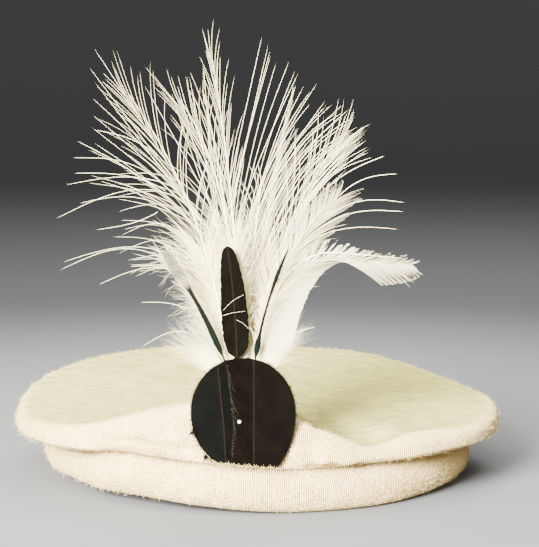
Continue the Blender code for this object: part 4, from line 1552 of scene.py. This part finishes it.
def vane_finish(name, dark, sheen, slant):
    """A dark vane whose barbs run slantwise from its shaft, with its tone and places for more."""
    finish = Finish(name, Specular_IOR_Level=0.015)
    place = finish.node("ShaderNodeUVMap", {"uv_map": "UVMap"}).outputs["UV"]
    off, rise, _ = finish.axes(place)
    out = finish.maths("ABSOLUTE", off)
    wobble = finish.noise(14, 3, place) * 0.03
    line = (rise + wobble - out * slant) * (math.tau / (BARB_PITCH * 10))
    barb = finish.maths("SINE", line) * 0.5 + 0.5
    grain = finish.noise(160, 3, place)
    bundle = finish.noise(9, 3, place)
    quill = finish.limited(out, 0.0025, 0.005, 1.0, 0.0)
    # Painted sheen: the sheen colour lightens the raised barbs and random patches of the vane.
    light = barb * 0.4 + finish.limited(grain, 0.35, 0.7) * 0.35
    light = light + finish.limited(bundle, 0.35, 0.7) * 0.25 - 0.1
    tone = finish.mixed(light, dark, sheen)
    tone = finish.mixed(quill * 0.8, tone, settings().quill_colour)
    finish.feed("Roughness", finish.limited(grain, 0.2, 0.8, 0.45, 0.75))
    finish.emboss(barb + grain * 0.9 + bundle * 0.8, 0.00035)
    return finish, tone, off, rise


def badge_finish(name, colour, sheen, slant):
    finish, tone, _, _ = vane_finish(name, colour, sheen, slant)
    finish.feed("Base Color", tone)
    return finish.material


def green_finish(name, left, right, thin_from):
    """A dark green vane with pale edges, green from left to right of its shaft, in metres.

    Its end, from thin_from up, is grey and thin. The UV map is in decimetres.
    """
    look = settings()
    finish, tone, off, rise = vane_finish(name, look.green_colour, look.green_sheen, 0.9)
    from_left = finish.limited(off, left * 10 - 0.003, left * 10)
    seen = from_left * finish.limited(off, right * 10, right * 10 + 0.003, 1.0, 0.0)
    thin = finish.limited(rise, thin_from * 10, thin_from * 10 + 0.10)
    pale = finish.mixed(thin, look.plume_colour, look.thin_colour)
    finish.feed("Base Color", finish.mixed(seen * (1 - thin), pale, tone))
    gaps = finish.noise(220, 3)
    finish.feed("Alpha", 1 - thin * finish.limited(gaps, 0.3, 0.7, 0.35, 0.75))
    return finish.material


def hair_finish(name, colour, tip=None):
    """Loose barbs of the badge and the dark feathers, which may pale towards their tips."""
    finish = Finish(name, Roughness=0.6, Specular_IOR_Level=0.06)
    along, _, chance = finish.axes(finish.mark())
    paler = finish.limited(along + chance * 0.4, 0.3, 1.1)
    finish.feed("Base Color", finish.mixed(paler, colour, tip or colour))
    return finish.material


def bead_finish():
    look = settings()
    finish = Finish("pin_head", Roughness=0.22, Coat_Weight=0.5, Coat_Roughness=0.1)
    wear = finish.noise(900, 3)
    finish.feed("Base Color", finish.mixed(wear * 0.35, look.bead_colour, look.bead_wear))
    return finish.material


def floor_finish():
    """A pale floor in a painted pool of light: it darkens softly behind the cap, so that the white
    plume stands out.
    """
    look = settings()
    finish = Finish("floor", Roughness=0.9)
    x, y, _ = finish.axes(finish.place)
    away = finish.maths("SQRT", x * x + y * y)
    # Painted shade: the floor darkens away from the cap, as outside a pool of light.
    shade = finish.limited(away, 0.22, 0.75)
    grain = finish.noise(6, 2) * 0.06 + 0.97
    tone = finish.mixed(shade, look.floor_colour, look.backdrop_painted_shade_colour)
    finish.feed("Base Color", tone)
    finish.feed("Roughness", finish.limited(grain, 0.9, 1.1, 0.85, 0.95))
    return finish.material


def colour(name, description, default):
    return FloatVectorProperty(
        name=name, description=description, default=default, subtype="COLOR", min=0.0, max=1.0
    )


class CapSettings(bpy.types.PropertyGroup):
    """The sizes and colours that a user may change."""

    fibre_length: FloatProperty(
        name="Fibre Length",
        description="How far the longest wool fibres reach out of the cloth",
        default=0.0030,
        min=0.0,
        max=0.006,
        precision=4,
        unit="LENGTH",
    )
    fibres: IntProperty(
        name="Fibres",
        description="How many fibres stand out of the crown, and as many out of the roll",
        default=19000,
        min=100,
        max=19000,
    )
    fullness: FloatProperty(
        name="Plume Fullness",
        description="How many of the plume's barbs are made",
        default=1.0,
        min=0.1,
        max=1.6,
        subtype="FACTOR",
    )
    barb_radius: FloatProperty(
        name="Barb Radius",
        description="Half the thickness of a white barb at its foot",
        default=0.000115,
        min=0.00005,
        max=0.0004,
        precision=5,
        unit="LENGTH",
    )
    wool_colour: colour("Wool", "Colour of the roll and the crown's wall", (1.0, 0.755, 0.31))
    # Painted shade: the top darker and greener than the wall, where light falls on it less.
    top_painted_shade_colour: colour("Wool Top", "Colour of the crown's top", (0.48, 0.43, 0.112))
    wool_shade: colour("Wool Shade", "Colour of the wool's duller patches", (0.92, 0.65, 0.26))
    # Darker mottling of the felt, and painted shade in the rib valleys.
    wool_mottle_and_cavity_shade: colour("Wool Depth", "Colour between the wool's fibres", (0.62, 0.42, 0.20))
    # The top's duller streaks, and painted shade in the crease behind the ridge.
    top_streak_and_crease_painted_shade: colour("Wool Top Shade", "Colour of the top's duller streaks", (0.32, 0.295, 0.075))
    # Stains, and painted shade along creases.
    stain_and_crease_shade_colour: colour("Stains", "Colour of the wool's stains", (0.50, 0.36, 0.17))
    # Painted shade in the seam over the roll.
    seam_painted_shade_colour: colour("Seam", "Colour of the seam over the roll", (0.30, 0.19, 0.08))
    # Painted shadow in the deep gaps of the seam.
    seam_shadow_spot_colour: colour("Specks", "Colour of the dark specks in the seam", (0.035, 0.024, 0.010))
    plume_colour: colour("Plume", "Colour of the white feathers", (1.0, 0.90, 0.50))
    plume_tip_colour: colour("Plume Tips", "Colour of yellowed barb tips", (0.36, 0.27, 0.10))
    plume_shade: colour("Plume Shade", "Colour of the plume's duller parts", (0.62, 0.55, 0.31))
    left_vane_colour: colour("Left Vane", "Colour of the badge's left vane", (0.0008, 0.0009, 0.0007))
    # Painted sheen along the raised barbs.
    left_vane_sheen: colour("Left Sheen", "Colour of its raised barbs", (0.0042, 0.0042, 0.0031))
    right_vane_colour: colour("Right Vane", "Colour of the right vane", (0.0006, 0.0004, 0.0003))
    # Painted sheen along the raised barbs.
    right_vane_sheen: colour("Right Sheen", "Colour of its raised barbs", (0.0058, 0.0040, 0.0023))
    fray_colour: colour("Fray", "Colour of the frayed barbs between the vanes", (0.07, 0.06, 0.045))
    upright_colour: colour("Upright", "Colour of the upright feather", (0.0014, 0.0011, 0.0006))
    # Painted sheen along the raised barbs.
    upright_sheen: colour("Upright Sheen", "Colour of its raised barbs", (0.0048, 0.0038, 0.0020))
    quill_colour: colour("Quill", "Colour of the dark feathers' shafts", (0.010, 0.006, 0.004))
    green_colour: colour("Green", "Colour of the green feathers", (0.0008, 0.0035, 0.0024))
    # Painted sheen along the raised barbs.
    green_sheen: colour("Green Sheen", "Colour of their raised barbs", (0.002, 0.012, 0.007))
    thin_colour: colour("Thin Vane", "Colour of the green feather's thin end", (0.13, 0.13, 0.085))
    bead_colour: colour("Bead", "Colour of the pin's head", (0.90, 0.89, 0.85))
    bead_wear: colour("Worn Bead", "Colour of the head's duller spots", (0.74, 0.70, 0.62))
    floor_colour: colour("Floor", "Colour of the floor under the cap", (0.11, 0.11, 0.107))
    # Painted shade: the floor's fall-off away from the cap, and the backdrop.
    backdrop_painted_shade_colour: colour("Backdrop", "Colour of the backdrop", (0.016, 0.016, 0.017))
    light: FloatProperty(
        name="Light",
        description="Strength of the lamps and of the air, as a share of the usual",
        default=1.0,
        min=0.0,
        max=4.0,
        subtype="FACTOR",
    )


class CAP_OT_brim(bpy.types.Operator):
    """Models the rolled brim and its fuzz"""

    bl_idname = "cap.brim"
    bl_label = "Rolled Brim"

    def execute(self, context):
        piece = model_brim()
        kept(piece, wool_finish("wool_roll"), "wool", "rolled_brim")
        made = fuzz("rolled_brim_fuzz", piece, False)
        kept(made, wool_finish("wool_roll_fibre", fibre=True), "wool")
        return {"FINISHED"}


class CAP_OT_crown(bpy.types.Operator):
    """Models the crown and its fuzz"""

    bl_idname = "cap.crown"
    bl_label = "Crown"

    def execute(self, context):
        piece = model_crown()
        kept(piece, wool_finish("wool"), "wool", "crown")
        made = fuzz("crown_fuzz", piece, True)
        kept(made, wool_finish("wool_fibre", fibre=True), "wool")
        return {"FINISHED"}


class CAP_OT_badge(bpy.types.Operator):
    """Models the badge's two trimmed vanes, their fray and the quill ends on them"""

    bl_idname = "cap.badge"
    bl_label = "Badge"

    def execute(self, context):
        look = settings()
        rim = hair_finish("badge_hair", look.left_vane_sheen)
        left = badge_half("badge_left_vane", -1, 0.0)
        colours = look.left_vane_colour, look.left_vane_sheen
        kept(left, badge_finish("blue_black_feather", *colours, -0.9), "blue_black_feather", "badge_left")
        right = badge_half("badge_right_vane", 1, BADGE_FRONT)
        colours = look.right_vane_colour, look.right_vane_sheen
        kept(right, badge_finish("brown_black_feather", *colours, 1.1), "brown_black_feather", "badge_right")
        edges = (
            badge_rim("badge_left_edge", -1, 0.0),
            badge_rim("badge_right_edge", 1, BADGE_FRONT),
        )
        stubs = quill_stubs()
        kept(stubs, hair_finish("stub_hair", look.left_vane_colour), "blue_black_feather")
        for made in edges:
            kept(made, rim, "blue_black_feather")
        wool = foot_wool()
        kept(wool, wool_finish("foot_fibre", fibre=True), "wool")
        fray = badge_fray()
        colours = look.right_vane_sheen, look.fray_colour
        kept(fray, hair_finish("badge_fray_hair", *colours), "brown_black_feather")
        return {"FINISHED"}


class CAP_OT_pin(bpy.types.Operator):
    """Models the pin's head"""

    bl_idname = "cap.pin"
    bl_label = "Pin"

    def execute(self, context):
        head, ring = model_pin()
        kept(head, bead_finish(), "pin_head", "pin")
        # The ring is a painted shadow round the head.
        kept(ring, hair_finish("pin_shadow_ring", settings().quill_colour), "brown_black_feather")
        return {"FINISHED"}


class CAP_OT_dark_feathers(bpy.types.Operator):
    """Models the upright feather and the two green feathers"""

    bl_idname = "cap.dark_feathers"
    bl_label = "Dark Feathers"

    def execute(self, context):
        look = settings()
        colours = look.upright_colour, look.upright_sheen
        brown = badge_finish("upright_vane", *colours, 0.9)
        dark_hair = hair_finish("feather_edge", *colours)
        white_hair = hair_finish("white_edge", look.plume_shade, look.plume_colour)
        green = green_finish("green_feather", -0.0019, 0.0011, 0.064)
        short = green_finish("green_feather_short", -0.0014, 0.0015, 0.2)
        rows = (
            ("upright_feather", UPRIGHT, brown, dark_hair, "brown_black_feather"),
            ("green_feather_left", LEFT_GREEN, green, white_hair, "green_feather"),
            ("green_feather_right", RIGHT_GREEN, short, white_hair, "green_feather"),
        )
        for seed, (name, leaf, finish, hair, slot) in enumerate(rows):
            piece = leaf_plate(name + "_vane", leaf)
            kept(piece, finish, slot, name)
            loose = leaf_barbs(name + "_barbs", leaf, SEEDS["dark_feathers"] + seed)
            kept(loose, hair, slot)
        return {"FINISHED"}


class CAP_OT_plume(bpy.types.Operator):
    """Models the white feathers and the single barbs that stand out of them"""

    bl_idname = "cap.plume"
    bl_label = "Plume"

    def execute(self, context):
        finish = barb_finish()
        for seed, row in enumerate(PLUME):
            piece = white_feather(row, SEEDS["plume"] + seed)
            kept(piece, finish, "white_feather", row.name)
        singles = stray_barbs()
        kept(singles, finish, "white_feather")
        down = front_down()
        kept(down, finish, "white_feather")
        return {"FINISHED"}


class CAP_OT_stage(bpy.types.Operator):
    """Makes the floor, the lamps and the camera"""

    bl_idname = "cap.stage"
    bl_label = "Stage"

    def execute(self, context):
        look = settings()
        floor = edit_new("floor", bpy.ops.mesh.primitive_circle_add, **FLOOR_RING)
        reach, height = FLOOR_RING["radius"], 0.0
        for degrees in range(10, 91, 10):
            turn = math.radians(degrees)
            after = FLOOR_RING["radius"] + COVE * math.sin(turn)
            high = COVE * (1 - math.cos(turn))
            extruded(high - height, after / reach, (0.0, 0.0, high))
            reach, height = after, high
        bpy.ops.mesh.extrude_region_move(TRANSFORM_OT_translate={"value": (0.0, 0.0, WALL)})
        bpy.ops.mesh.select_all(action="SELECT")
        bpy.ops.mesh.flip_normals()
        done(floor)
        paint(floor, floor_finish())
        for lamp in LAMPS:
            self.add_lamp(lamp, look.light)
        self.add_air(context.scene, look.light)
        self.add_camera(context.scene)
        return {"FINISHED"}

    def add_lamp(self, lamp, strength):
        turn, rise = math.radians(lamp.azimuth), math.radians(lamp.elevation)
        level = math.cos(rise)
        way = Vector((math.sin(turn) * level, -math.cos(turn) * level, math.sin(rise)))
        place = Vector(LIT_PLACE) + way * lamp.distance
        bpy.ops.object.light_add(type="AREA", location=tuple(place))
        made = bpy.context.object
        made.name = lamp.name
        made.data.size = lamp.size
        made.data.energy = lamp.power * strength
        made.rotation_euler = way.to_track_quat("Z", "Y").to_euler()

    def add_air(self, scene, strength):
        scene.world = bpy.data.worlds.new("studio")
        scene.world.use_nodes = True
        air = scene.world.node_tree.nodes["Background"]
        air.inputs["Color"].default_value = AIR_COLOUR
        air.inputs["Strength"].default_value = AIR_STRENGTH * strength

    def add_camera(self, scene):
        rise = math.radians(CAMERA_RISE)
        way = Vector((0.0, -math.cos(rise), math.sin(rise)))
        place = Vector(CAMERA_TARGET) + way * CAMERA_DISTANCE
        bpy.ops.object.camera_add(location=tuple(place))
        camera = bpy.context.object
        camera.name = "camera"
        camera.rotation_euler = way.to_track_quat("Z", "Y").to_euler()
        camera.data.sensor_width = 36.0
        camera.data.lens = CAMERA_LENS
        camera.data.clip_start = 0.01
        scene.camera = camera


class CAP_PT_panel(bpy.types.Panel):
    """Lists the cap's pieces and settings"""

    bl_idname = "CAP_PT_panel"
    bl_label = "Cap"
    bl_space_type = "VIEW_3D"
    bl_region_type = "UI"
    bl_category = "Cap"

    def draw(self, context):
        for step in STEPS:
            self.layout.operator(step.bl_idname)
        self.layout.separator()
        for key in CapSettings.__annotations__:
            self.layout.prop(context.scene.cap, key)


STEPS = (
    CAP_OT_brim,
    CAP_OT_crown,
    CAP_OT_badge,
    CAP_OT_pin,
    CAP_OT_dark_feathers,
    CAP_OT_plume,
    CAP_OT_stage,
)


def register():
    for made in (CapSettings, *STEPS, CAP_PT_panel):
        bpy.utils.register_class(made)
    bpy.types.Scene.cap = PointerProperty(type=CapSettings)


def unregister():
    del bpy.types.Scene.cap
    for made in reversed((CapSettings, *STEPS, CAP_PT_panel)):
        bpy.utils.unregister_class(made)


def main():
    register()
    for step in STEPS:
        getattr(bpy.ops.cap, step.bl_idname.split(".")[1])()


if __name__ == "__main__":
    main()
